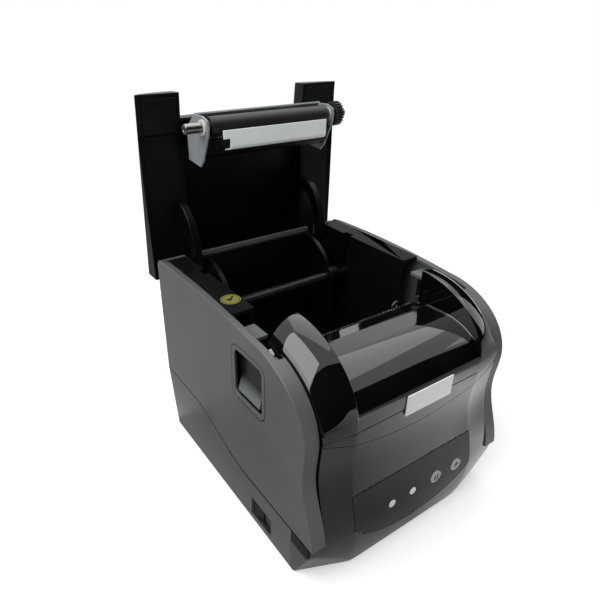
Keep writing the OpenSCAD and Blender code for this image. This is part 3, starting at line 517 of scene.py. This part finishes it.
# the lever's grey, with painted shade where it lies far in behind the window
LEVER = plastic("lever grey with painted shade", (0.12, 0.13, 0.133), (0.16, 0.165, 0.17), 0.35, 1400, 0.25,
                painted_shade_depths=(71.2 * MM, 73 * MM))
DIFFUSER = plastic("light diffuser", (0.8, 0.82, 0.82), (0.6, 0.6, 0.6), 0.3, 1600, 0.1)
COATED = plastic("coated sheet", (0.21, 0.235, 0.245), (0.4, 0.42, 0.43), 0.32, 1600, 0.15)
LABEL = plastic("label film", (0.72, 0.73, 0.74), (0.5, 0.5, 0.5), 0.25, 1200, 0.06, 0.1)
SEAL = plastic("seal yellow", (0.2, 0.19, 0.042), (0.3, 0.29, 0.12), 0.3, 1200, 0.06, 0.05)
PRINT = plastic("printed mark", (0.012, 0.012, 0.013), (0.03, 0.03, 0.03), 0.4, 1500, 0.1)
SWITCH = plastic("switch black", (0.007, 0.007, 0.008), (0.04, 0.04, 0.04), 0.22, 1500, 0.15, specular=0.3)
FOOT = plastic("foot rubber", (0.02, 0.02, 0.02), (0.04, 0.04, 0.04), 0.75, 900, 0.5)
RUBBER = plastic("roller rubber", (0.007, 0.0072, 0.008), (0.02, 0.02, 0.02), 0.45, 2600, 0.3, 0.08)
GEAR = plastic("gear black", (0.012, 0.012, 0.013), (0.05, 0.05, 0.05), 0.4, 1200, 0.2)
ACETAL = plastic("gear acetal", (0.6, 0.59, 0.54), (0.7, 0.7, 0.66), 0.4, 1200, 0.2)
BOARD = plastic("board green", (0.012, 0.075, 0.034), (0.1, 0.2, 0.12), 0.35, 700, 0.2)
CERAMIC = plastic("head ceramic", (0.6, 0.58, 0.53), (0.7, 0.68, 0.62), 0.15, 900, 0.1)
ZINC = metal("galvanised sheet", (0.36, 0.385, 0.39), 0.36, (200, 200, 200), 0.12, 0.5)
BRIGHT = plastic("pale steel sheet", (0.74, 0.8, 0.765), (0.85, 0.88, 0.87), 0.3, 900, 0.1, 0.1)
STEEL = metal("turned steel", (0.3, 0.3, 0.29), 0.3, (900, 60, 60), 0.2)
DARK_STEEL = metal("blued steel", (0.03, 0.03, 0.033), 0.42)
BRASS = metal("brass", (0.7, 0.5, 0.2), 0.3)
ALUMINIUM = metal("pressed aluminium", (0.7, 0.71, 0.73), 0.4)

FINISH = {
    "satin_charcoal": CHARCOAL, "gloss_black": GLOSS, "inner_black": INNER, "overlay_grey": OVERLAY,
    "button_grey": BUTTON, "lever_grey": LEVER, "steel_sheet": ZINC, "turned_steel": STEEL,
    "platen_rubber": RUBBER, "label_white": LABEL, "seal_yellow": SEAL, "foot_rubber": FOOT,
    "board_green": BOARD, "gear_white": ACETAL, "gear_black": GEAR, "brass_pinion": BRASS,
    "head_ceramic": CERAMIC, "heatsink": ALUMINIUM, "switch_black": SWITCH,
}
for node_name, node_object in frame["nodes"].items():
    node_object.data.materials.clear()
    finish = DARK_STEEL if node_name == "tear_bar" else FINISH[slot_of(node_name)]
    node_object.data.materials.append(finish)


# ---- glossy front ----


CORNER = 1.8 * MM
SEAM_Y = FRONT + 20.3 * MM
CHIN_BACK = 17 * MM
CHIN_EDGE = 5 * MM
CHIN_TOP = 2.5 * MM


def cover_depth(x, z):
    """Y of the lower front: the softened larger of the turned front and the plane that cuts the chin's
    corners back."""
    front = turned_back(x, front_in(z))
    rise = (CHIN_BACK - CHIN_TOP) / BULGE_Z
    across = (CHIN_BACK - CHIN_EDGE) / (HALF - CREASE)
    plane = FRONT + CHIN_BACK - rise * z - across * (HALF - np.abs(x))
    gap = plane - front
    return front + (gap + np.sqrt(gap * gap + CHIN_SOFT**2)) / 2


def front_cover():
    """The lower front: each row runs from the middle out over the front, round the corner and back along
    the side to the seam; above the parting only the columns inside the side panels are kept."""
    edge = INNER_EDGE - SEAM / 2
    x = np.concatenate([np.linspace(0, edge, 131), np.linspace(edge, HALF - CORNER, 9)[1:]])[None, :]
    low = np.broadcast_to(np.linspace(0.3 * MM, PARTING - SEAM, 46)[:, None], (46, x.shape[1]))
    v = np.linspace(0, 1, 111)[1:, None]
    high = PARTING - SEAM + v * (smile(x) - PARTING)
    z = np.vstack([low, high])
    x = np.broadcast_to(x, z.shape)
    face = np.stack([x, cover_depth(x, z), z], -1)
    turn = np.radians(np.linspace(0, 90, 8))[None, 1:]
    last = face[:, -1:]
    bend = np.stack([last[..., 0] + CORNER * np.sin(turn), last[..., 1] + CORNER * (1 - np.cos(turn)),
                     np.broadcast_to(last[..., 2], (len(z), 7))], -1)
    back = np.linspace(0, 1, 13)[None, 1:]
    start = bend[:, -1:, 1]
    flank = np.stack([np.full((len(z), 12), HALF), start + (SEAM_Y - start) * back,
                      np.broadcast_to(last[..., 2], (len(z), 12))], -1)
    side = np.concatenate([face, bend, flank], 1)
    floor_row = side[:1] * np.array([1, 1, 0])
    floor_x = side[:1, :, 0]
    floor_back = np.stack([floor_x, np.full(floor_x.shape, SEAM_Y), np.zeros(floor_x.shape)], -1)
    side = np.concatenate([floor_back, floor_row + np.array([0, 0.4 * MM, 0]), side], 0)
    whole = np.concatenate([side[:, :0:-1] * np.array([-1, 1, 1]), side], 1)
    return whole + np.array([0, 0, GROUND])


def front_band():
    """The band above it: from the smile seam up to the straight seam."""
    x = np.linspace(-1, 1, 201)[None, :] * (INNER_EDGE - SEAM / 2)
    v = np.linspace(0, 1, 25)[:, None]
    z = smile(x) + v * (BAND_TOP - SEAM - smile(x))
    x = np.broadcast_to(x, z.shape)
    return np.stack([x, turned_back(x, front_in(z)), z + GROUND], -1)


def polyline(points, count):
    """Evenly spaced points, by length, along straight pieces through points."""
    points = np.asarray(points, float)
    reach = np.concatenate([[0], np.cumsum(np.linalg.norm(np.diff(points, axis=0), axis=1))])
    at = np.linspace(0, reach[-1], count)
    return np.stack([np.interp(at, reach, points[:, i]) for i in range(points.shape[1])], -1)


def hood_profile(t):
    """(depth behind FRONT, height) of the hood: a quarter ellipse from the shoulder up to the crest."""
    angle = np.radians(90) * t
    rise = SHOULDER_Z + (CREST_Z - SHOULDER_Z) * np.sin(angle)
    run = (CREST_Y - FRONT) - (CREST_Y - FRONT - SHOULDER_IN) * np.cos(angle)
    return run, rise


def hood_path(count):
    """Points (depth, height) from the straight seam over the hood to the mouth and down behind the tear
    bar."""
    low = np.linspace(BAND_TOP + SEAM, 98 * MM, 4)
    run, rise = hood_profile(np.linspace(0, 1, 40))
    lip = MOUTH - FRONT
    tail = [(lip - 12 * MM, CREST_Z - 0.6 * MM), (lip - 2.2 * MM, CREST_Z - 2.6 * MM),
            (lip - 1.2 * MM, CREST_Z - 3.6 * MM), (lip - 1 * MM, CREST_Z - 14 * MM)]
    points = np.vstack([np.stack([front_in(low), low], -1), np.stack([run, rise], -1), tail])
    return polyline(points, count)


def rounded_step(points, radius, steps=6):
    """Replaces the inner corners of (n, k, 3) cross-sections by a quadratic curve from radius before each
    corner to radius after it, or less where a side is short; a corner of radius 0 stays."""
    out = [points[:, :1]]
    for i in range(1, points.shape[1] - 1):
        if not radius[i]:
            out.append(points[:, i : i + 1])
            continue
        before, corner, after = points[:, i - 1], points[:, i], points[:, i + 1]
        reach = []
        for other in (before, after):
            length = np.linalg.norm(other - corner, axis=1, keepdims=True)
            share = np.minimum(radius[i], 0.45 * length) / np.maximum(length, 1e-9)
            reach.append(corner + (other - corner) * share)
        t = np.linspace(0, 1, steps)[None, :, None]
        start, end = reach[0][:, None], reach[1][:, None]
        out.append((1 - t) ** 2 * start + 2 * t * (1 - t) * corner[:, None] + t**2 * end)
    out.append(points[:, -1:])
    return np.concatenate(out, 1)


def spread(points, counts):
    """Fills each stretch between the columns of (n, k, 3) points with evenly spaced points."""
    parts = [points[:, :1]]
    for i, count in enumerate(counts):
        t = np.linspace(0, 1, count + 1)[1:][None, :, None]
        parts.append(points[:, i : i + 1] * (1 - t) + points[:, i + 1 : i + 2] * t)
    return np.concatenate(parts, 1)


HOOD_ROWS = 110


def front_hood():
    """One skin for the hood and its wings: each cross-section runs from the middle out over the hood, up
    a wing's wall with a rounded foot and lip, and out along the wing, which bows down to the side panel's
    rim and ends in a short skirt. A wing's height is a quarter ellipse of its depth, from the shoulder to
    the wing's top, and the rim's depth is a quarter ellipse of its height."""
    hood = hood_path(HOOD_ROWS)
    reach = WING_REAR - FRONT
    cosine = np.clip((reach - hood[:, 0]) / (reach - SHOULDER_IN), 0, 1)
    arch = SHOULDER_Z + (WING_Z - SHOULDER_Z) * np.sqrt(1 - cosine**2)
    raised = (np.arange(HOOD_ROWS) >= np.argmax(hood[:, 1] > SHOULDER_Z)) & (hood[:, 1] > SHOULDER_Z)
    wing_z = np.where(raised, np.maximum(arch, hood[:, 1]), hood[:, 1])
    rows = hood[:, 0] <= reach
    depth, hood_z, wing_z = hood[rows, 0], hood[rows, 1], wing_z[rows]

    def at(x, y, z):
        return np.stack([np.full(len(y), x), y, z], -1)

    edge = INNER_EDGE - SEAM / 2
    back = (edge - CREASE) * math.tan(FACET_TURN)
    share = np.clip((wing_z - SHOULDER_Z) / (WING_Z - SHOULDER_Z), 0, 1)
    outer_z = np.where(raised[rows], SHOULDER_Z + share * (RIM_Z - SHOULDER_Z), wing_z)
    up = np.clip((outer_z - RIM_LOW) / (RIM_Z - RIM_LOW), 0, 1)
    rim = reach - RIM_BACK - (reach - RIM_BACK - RIM_IN) * np.sqrt(1 - up**2)
    outer = depth + back + (rim - depth - back) * ease(0, 1, 4 * share)
    middle = at(0, FRONT + depth, GROUND + hood_z)
    foot = at(CREASE, FRONT + depth, GROUND + hood_z)
    top = at(CREASE + 0.02 * MM, FRONT + depth, GROUND + wing_z)
    over = []
    for part in np.linspace(0, 1, 13)[1:]:
        bow = part**2
        over.append(at(CREASE + (edge - CREASE) * part, FRONT + depth + (outer - depth) * (bow + part) / 2,
                       GROUND + wing_z + (outer_z - wing_z) * bow**1.3))
    skirt = [0 * share, SKIRT[0] * (share > 0), -SKIRT[1] * np.clip(9 * share, 0, 1)]
    under = over[-1] + np.stack(skirt, -1)
    under[:, 1] = np.minimum(under[:, 1], WING_REAR)
    radii = [0, 1.6 * MM, 1.1 * MM, *[0] * 11, 0.8 * MM, 0]
    section = rounded_step(np.stack([middle, foot, top, *over, under], 1), radii)
    filled = spread(section, [30, *[1] * (section.shape[1] - 2)])
    mirrored = filled[:, :0:-1] * np.array([-1, 1, 1])
    return np.concatenate([mirrored, filled], 1)


def hood_lip():
    """The mouth's edge of the hood: its path's last stretch, turned down behind the tear bar."""
    lip = MOUTH - FRONT
    path = polyline([(lip - 12 * MM, CREST_Z - 0.6 * MM), (lip - 2.6 * MM, CREST_Z - 2.6 * MM),
                     (lip - 1.5 * MM, CREST_Z - 3.4 * MM), (lip - 1.2 * MM, CREST_Z - 4.6 * MM),
                     (lip - 1 * MM, CREST_Z - 14 * MM)], 40)
    x = np.linspace(-CREASE, CREASE, 41)
    shape = (len(path), len(x))
    y = np.broadcast_to(FRONT + path[:, :1], shape)
    z = np.broadcast_to(GROUND + path[:, 1:], shape)
    return np.stack([np.broadcast_to(x, shape), y, z], -1)


def placed(points, name, slot_node, material, keep=None, **more):
    """A piece over a grid of points, with slot_node's body."""
    mesh = sheet_mesh(name, points, keep)
    return piece(name, mesh, body_with(slot_node), material, slot_of(slot_node), **more)


OVERLAY_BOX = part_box("panel_overlay")
OVERLAY_ARC = 75 * MM
POCKET = 0.75 * MM
POCKET_EDGE = 0.25 * MM
GROOVE = 0.45 * MM
LIGHT_HOLE = 3.1 * MM
LIGHT_IN = 2.5 * MM
HOLE_UNDER = 0.9 * MM  # how much less than its button a hole's radius is


def pocketed(points):
    """Sinks the cover where the overlay lies: inside its outline grown by the groove."""
    x, z = points[..., 0], points[..., 2]
    half_w = OVERLAY_BOX[1].x
    low = OVERLAY_BOX[0].z
    outline = np.minimum(half_w - np.abs(x), OVERLAY_BOX[1].z - z)
    outline = np.minimum(outline, OVERLAY_ARC - np.hypot(x, z - low - OVERLAY_ARC))
    sunk = np.clip((outline + GROOVE) / POCKET_EDGE, 0, 1)
    points[..., 1] += POCKET * sunk
    return points


def holes_for(points, *nodes):
    """False for the quads that lie inside the round parts of those nodes."""
    middle = (points[:-1, :-1] + points[1:, 1:]) / 2
    keep = np.ones(middle.shape[:2], bool)
    for node in nodes:
        low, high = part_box(node)
        centre_z = (low.z + high.z) / 2
        if node == "status_lights":
            radius, centres = LIGHT_HOLE, [low.x + LIGHT_IN, high.x - LIGHT_IN]
        else:
            radius, centres = (high.z - low.z) / 2 - HOLE_UNDER, [(low.x + high.x) / 2]
        for centre in centres:
            keep &= np.hypot(middle[..., 0] - centre, middle[..., 2] - centre_z) > radius
    return keep


cover_points = pocketed(front_cover())
cover_keep = holes_for(cover_points, "status_lights", "pause_button", "feed_button")
beyond = np.abs(cover_points[:-1, :-1, 0] + cover_points[1:, 1:, 0]) / 2 > INNER_EDGE - SEAM / 2
cover_keep &= ~(beyond & (cover_points[:-1, :-1, 2] - GROUND > PARTING - 1.5 * SEAM))
cover_keep[0] &= np.abs(cover_points[0, :-1, 0] + cover_points[0, 1:, 0]) / 2 < HALF - 0.01 * MM
placed(cover_points, "front_cover_skin", "front_cover", GLOSS, keep=cover_keep,
       replaces=["front_cover"], wall=WALL, round_edge=0.3 * MM)
placed(front_band(), "front_band_skin", "front_band", GLOSS, replaces=["front_band"], wall=WALL,
       round_edge=0.3 * MM)
placed(front_hood(), "hood_skin", "front_hood", GLOSS, replaces=["front_hood"], wall=WALL,
       round_edge=0.5 * MM)
placed(hood_lip(), "hood_lip", "front_hood", GLOSS, wall=0.8 * MM)

# ---- pieces that keep their CAD shape, with their edges rounded ----

# the roundings of these are not clamped: one short edge would stop them all
OPEN_EDGED = ("side_panel_left", "side_panel_right", "base_tray")
for node, material, edge in (
    ("side_panel_left", PANEL, 0.4), ("side_panel_right", PANEL, 0.4), ("base_tray", PANEL, 0.5),
    ("rear_panel", CHARCOAL, 0.4), ("inner_frame", INNER, 0.4), ("lid_shell", LID_BLACK, 0.6),
    ("lid_liners", INNER, 0.4), ("lid_hinge_arms", LID_BLACK, 0.5), ("panel_overlay", OVERLAY, 0.08),
    ("label_plate", LABEL, 0.25), ("paper_guide_left", LID_BLACK, 0.4),
    ("paper_guide_right", LID_BLACK, 0.4), ("release_lever_left", LEVER, 0.4),
    ("release_lever_right", LEVER, 0.4), ("platen_bracket", COATED, 0.2), ("platen_cover", INNER, 0.3),
    ("guide_plate", BRIGHT, 0.15), ("power_rocker", SWITCH, 0.4), ("switch_body", SWITCH, 0.3),
    ("pause_button", BUTTON, 0.35), ("feed_button", BUTTON, 0.35), ("status_lights", DIFFUSER, 0.25),
    ("mech_chassis", ZINC, 0.2), ("platen_shaft", STEEL, 0.35), ("rubber_feet", FOOT, 0.5),
):
    softened(node, material, edge * MM, clamped=node not in OPEN_EDGED)

# ---- marks and small parts ----


MARK = 0.06 * MM
SEAL_MARK = 0.03 * MM
MARK_SHARP = 40  # degrees
TURNED_SHARP = 50


def printed(name, outline, axis, level, rise, node):
    """A thin printed mark on a node's body: a closed outline square to an axis (1 is Y and 2 is Z),
    carried by rise from level."""
    rings = np.stack([np.insert(outline, axis, at, axis=1) for at in (level, level + rise)])
    piece(name, loft_mesh(name, rings, MARK_SHARP), body_with(node), PRINT, slot_of(node))


def bar(x, z, width, height, steps=8):
    """The outline of a bar with round ends, centred at x and z."""
    turn = np.linspace(0, np.pi, steps)
    r = width / 2
    reach = height / 2 - r
    top = np.stack([x + r * np.cos(turn), z + reach + r * np.sin(turn)], -1)
    low = np.stack([x - r * np.cos(turn), z - reach - r * np.sin(turn)], -1)
    return np.vstack([top, low])


def middle_of(node):
    """The centre of a node's box in x, y and z."""
    return [(low + high) / 2 for low, high in zip(*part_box(node))]


x0, _, z0 = middle_of("pause_button")
for i, dx in enumerate((-1.1 * MM, 1.1 * MM)):
    printed(f"pause_bar_{i}", bar(x0 + dx, z0, 1.1 * MM, 4.6 * MM), 1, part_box("pause_button")[0].y, -MARK,
            "pause_button")
x0, _, z0 = middle_of("feed_button")
head = np.array([[-2.3, 0.0], [0, 2.5], [2.3, 0.0], [0.8, 0.0], [0.8, -1.2], [-0.8, -1.2], [-0.8, 0.0]])
for name, outline in (("feed_arrow", head[::-1] * MM + np.array([x0, z0 + 0.3 * MM])),
                      ("feed_base", bar(x0, z0 - 1.9 * MM, 0.6 * MM, 0.61 * MM))):
    printed(name, outline, 1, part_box("feed_button")[0].y, -MARK, "feed_button")

SEAL_LOW, SEAL_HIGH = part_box("ledge_seal")
SEAL_AT = np.array(middle_of("ledge_seal")[:2])


def seal_ring():
    """A flat printed ring on the seal: four circles square to Z joined into a closed band."""
    radius = (SEAL_HIGH.x - SEAL_LOW.x) / 2
    turn = np.linspace(0, 2 * np.pi, 64, endpoint=False)
    circle = np.stack([np.cos(turn), np.sin(turn)], -1)
    inner, outer = 0.84 * radius, 0.9 * radius
    low, high = SEAL_HIGH.z, SEAL_HIGH.z + SEAL_MARK
    corners = ((inner, low), (outer, low), (outer, high), (inner, high), (inner, low))
    rings = np.stack([np.insert(SEAL_AT + r * circle, 2, level, axis=1) for r, level in corners])
    piece("seal_ring", loft_mesh("seal_ring", rings, MARK_SHARP, capped=False), body_with("ledge_seal"),
          PRINT, slot_of("ledge_seal"))


seal_ring()
tick = np.array([[-2.9, 0.2], [-2.1, 1.0], [-0.8, -0.4], [2.4, 2.8], [3.1, 2.1], [-0.8, -2.0]]) * MM
printed("seal_tick", tick + SEAL_AT, 2, SEAL_HIGH.z, SEAL_MARK, "ledge_seal")


def rings_along_x(x, radius, node, count):
    """Circles of count points square to X about the middle of a node, one for each x and radius."""
    _, y0, z0 = middle_of(node)
    turn = np.linspace(0, 2 * np.pi, count, endpoint=False)
    return np.stack([np.broadcast_to(x[:, None], (len(x), count)), y0 + radius[:, None] * np.cos(turn),
                     z0 + radius[:, None] * np.sin(turn)], -1)


RIB_DEEP = 0.22 * MM
RIB_PITCH = 1.5 * MM
RIBBED_SHARE = 0.62  # of the spindle's length
RIB_FADE = 2 * MM


def spindle():
    """The spindle: a bar along X whose radius ripples in fine ribs, plain towards both ends."""
    low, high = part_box("roll_spindle")
    x = np.linspace(low.x, high.x, 420)
    middle = (low.x + high.x) / 2
    ribbed = np.clip((RIBBED_SHARE * (high.x - middle) - np.abs(x - middle)) / RIB_FADE, 0, 1)
    radius = (high.z - low.z) / 2 - RIB_DEEP * ribbed * (0.5 - 0.5 * np.cos(2 * np.pi * x / RIB_PITCH))
    mesh = loft_mesh("spindle_bar", rings_along_x(x, radius, "roll_spindle", 40), TURNED_SHARP)
    piece("spindle_bar", mesh, body_with("roll_spindle"), SWITCH, slot_of("roll_spindle"), ["roll_spindle"])


spindle()

EASED_END = 0.5 * MM
CROWN = 0.05 * MM


def roller():
    """The roller's rubber: a sleeve along X, a hair thicker at its middle, with eased ends and a bore."""
    low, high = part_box("platen_rubber")
    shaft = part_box("platen_shaft")
    core = (shaft[1].z - shaft[0].z) / 2
    outer = (high.z - low.z) / 2
    share = np.linspace(-1, 1, 60)
    x = (low.x + high.x) / 2 + share * (high.x - low.x) / 2
    radius = outer - CROWN * share**2
    radius[0] = radius[-1] = outer - EASED_END
    x[1], x[-2] = x[0] + EASED_END, x[-1] - EASED_END
    x = np.concatenate([[x[0]], x, [x[-1], x[0]]])
    radius = np.concatenate([[core], radius, [core, core]])
    rings = rings_along_x(x, radius, "platen_rubber", 72)
    mesh = loft_mesh("roller_sleeve", rings, TURNED_SHARP, capped=False)
    piece("roller_sleeve", mesh, body_with("platen_rubber"), RUBBER, slot_of("platen_rubber"),
          ["platen_rubber"])


roller()


# ---- camera, light and floor ----

TARGET = Vector((3.3, 46.5, 84.5)) * MM
CAMERA_AWAY = 392 * MM
CAMERA_TURN = math.radians(-34.4)
CAMERA_RISE = math.radians(29.16)
CAMERA_ROLL = math.radians(0.53)
CAMERA_LENS = 31.66
SENSOR = 36
CAMERA_SHIFT = (0.038, 0.0156)
NEAREST = 10 * MM
WORLD_LIGHT = 0.5
FLOOR_REACH = 6.0
FLOOR_GLOW = 0.44
FLOOR_FADE = (0.9, 0.35)  # metres from the middle: where it is gone, where it is whole
CARD_SHADE = 0.7
CARD_LOW = 0.6 * MM


def add_camera():
    """A camera on a sphere round the target, looking at it, with a slight roll and shift."""
    made = bpy.data.objects.new("camera", bpy.data.cameras.new("camera"))
    bpy.context.scene.collection.objects.link(made)
    away = Vector((math.sin(CAMERA_TURN) * math.cos(CAMERA_RISE),
                   -math.cos(CAMERA_TURN) * math.cos(CAMERA_RISE), math.sin(CAMERA_RISE)))
    made.location = TARGET + CAMERA_AWAY * away
    look = (-away).to_track_quat("-Z", "Y").to_matrix().to_4x4()
    roll = look @ Matrix.Rotation(CAMERA_ROLL, 4, "Z")
    made.rotation_euler = roll.to_euler()
    made.data.lens = CAMERA_LENS
    made.data.sensor_width = SENSOR
    made.data.shift_x, made.data.shift_y = CAMERA_SHIFT
    made.data.clip_start = NEAREST
    bpy.context.scene.camera = made


def softbox(name, place, at, size, power):
    """An area light at place, facing at."""
    lamp = bpy.data.lights.new(name, "AREA")
    lamp.shape = "RECTANGLE"
    lamp.size, lamp.size_y = size
    lamp.energy = power
    made = bpy.data.objects.new(name, lamp)
    made.location = place
    made.rotation_euler = (Vector(place) - Vector(at)).to_track_quat("Z", "Y").to_euler()
    bpy.context.scene.collection.objects.link(made)


def background_rays(tree):
    """1 for the rays that show the background: from the camera, in reflections and through glass."""
    path = tree.nodes.new("ShaderNodeLightPath")
    straight = calc(tree, "MAXIMUM", path.outputs["Is Camera Ray"], path.outputs["Is Glossy Ray"])
    return calc(tree, "MAXIMUM", straight, path.outputs["Is Transmission Ray"])


def add_world():
    """White to the rays that show the background, half as strong as light on the surfaces."""
    world = bpy.data.worlds.new("studio")
    bpy.context.scene.world = world
    world.use_nodes = True
    tree = world.node_tree
    background = tree.nodes["Background"]
    seen = background_rays(tree)
    background.inputs["Color"].default_value = (1, 1, 1, 1)
    strength = calc(tree, "ADD", calc(tree, "MULTIPLY", seen, 1 - WORLD_LIGHT), WORLD_LIGHT)
    tree.links.new(strength, background.inputs["Strength"])


def add_floor():
    """A wide pale floor that glows a little to the rays that show the background, and thins out with
    distance into the white world."""
    side = FLOOR_REACH
    grid = np.array([[-side, -side, 0], [side, -side, 0], [side, side, 0], [-side, side, 0]])
    mesh = mesh_of("floor", grid, np.array([[0, 1, 2, 3]]))
    floor = bpy.data.objects.new("floor", mesh)
    floor.location.z = cad_box[0].z
    bpy.context.scene.collection.objects.link(floor)
    material, tree, shader = start_material("pale floor")
    pale = mixed(tree, noise(tree, 8, 2), (0.64, 0.64, 0.64), (0.66, 0.66, 0.66))
    tree.links.new(pale, shader.inputs["Base Color"])
    shader.inputs["Roughness"].default_value = 0.7
    shader.inputs["Specular IOR Level"].default_value = 0.2
    shader.inputs["Emission Color"].default_value = (1, 1, 1, 1)
    glow = calc(tree, "MULTIPLY", background_rays(tree), FLOOR_GLOW)
    tree.links.new(glow, shader.inputs["Emission Strength"])
    place = tree.nodes.new("ShaderNodeTexCoord")
    span = tree.nodes.new("ShaderNodeVectorMath")
    span.operation = "LENGTH"
    tree.links.new(place.outputs["Object"], span.inputs[0])
    tree.links.new(ramp(tree, span.outputs["Value"], *FLOOR_FADE), shader.inputs["Alpha"])
    mesh.materials.append(material)


def standing(x0, y0, x1, y1, height):
    """The corners of an upright card over the floor line from (x0, y0) to (x1, y1)."""
    return [(x0, y0, 0), (x1, y1, 0), (x1, y1, height), (x0, y0, height)]


def lying(x0, x1, y1, height=CARD_LOW):
    """The corners of a level card from x0 to x1, and from a metre in front to y1."""
    return [(x0, -1, height), (x1, -1, height), (x1, y1, height), (x0, y1, height)]


def add_card(name, corners, fade=None):
    """A black card that only reflections see, as is set round gloss. With fade, (X where it is gone, X
    where it is full), it is partly clear all over and thins out along X."""
    mesh = mesh_of(name, np.array(corners), np.array([[0, 1, 2, 3]]))
    card = bpy.data.objects.new(name, mesh)
    bpy.context.scene.collection.objects.link(card)
    material, tree, shader = start_material(name)
    shader.inputs["Base Color"].default_value = (0.003, 0.003, 0.003, 1)
    shader.inputs["Specular IOR Level"].default_value = 0
    if fade:
        shade = calc(tree, "MULTIPLY", ramp(tree, object_axes(tree)["X"], *fade), CARD_SHADE)
        tree.links.new(shade, shader.inputs["Alpha"])
    mesh.materials.append(material)
    card.visible_camera = card.visible_diffuse = card.visible_shadow = False


add_camera()
add_world()
add_floor()
add_card("card_front", standing(-1.8, -1, 1.8, -1, 1.9))
add_card("card_left", standing(-1.3, -1, -1.3, 1.6, 1.2))
add_card("card_low", lying(-1.2, 0.13, 0.07), fade=(0.13, 0.01))
add_card("card_low_right", lying(0.14, 1.3, 0.07), fade=(0.14, 0.22))
add_card("card_side", lying(-1.2, -0.085, 1.2, 1 * MM), fade=(-0.084, -0.086))
add_card("card_right", standing(1.3, -1, 1.3, 1.6, 0.9))
CENTRE = (0, 0, 0.1)
softbox("overhead box", (0.35, 0.3, 0.95), CENTRE, (0.9, 0.8), 2.6)
softbox("left box", (-0.75, 0.0, 1.0), CENTRE, (1.1, 1.1), 15)
softbox("right box", (0.95, -0.25, 0.45), CENTRE, (0.35, 0.8), 1)
bpy.context.scene.view_settings.view_transform = "Standard"
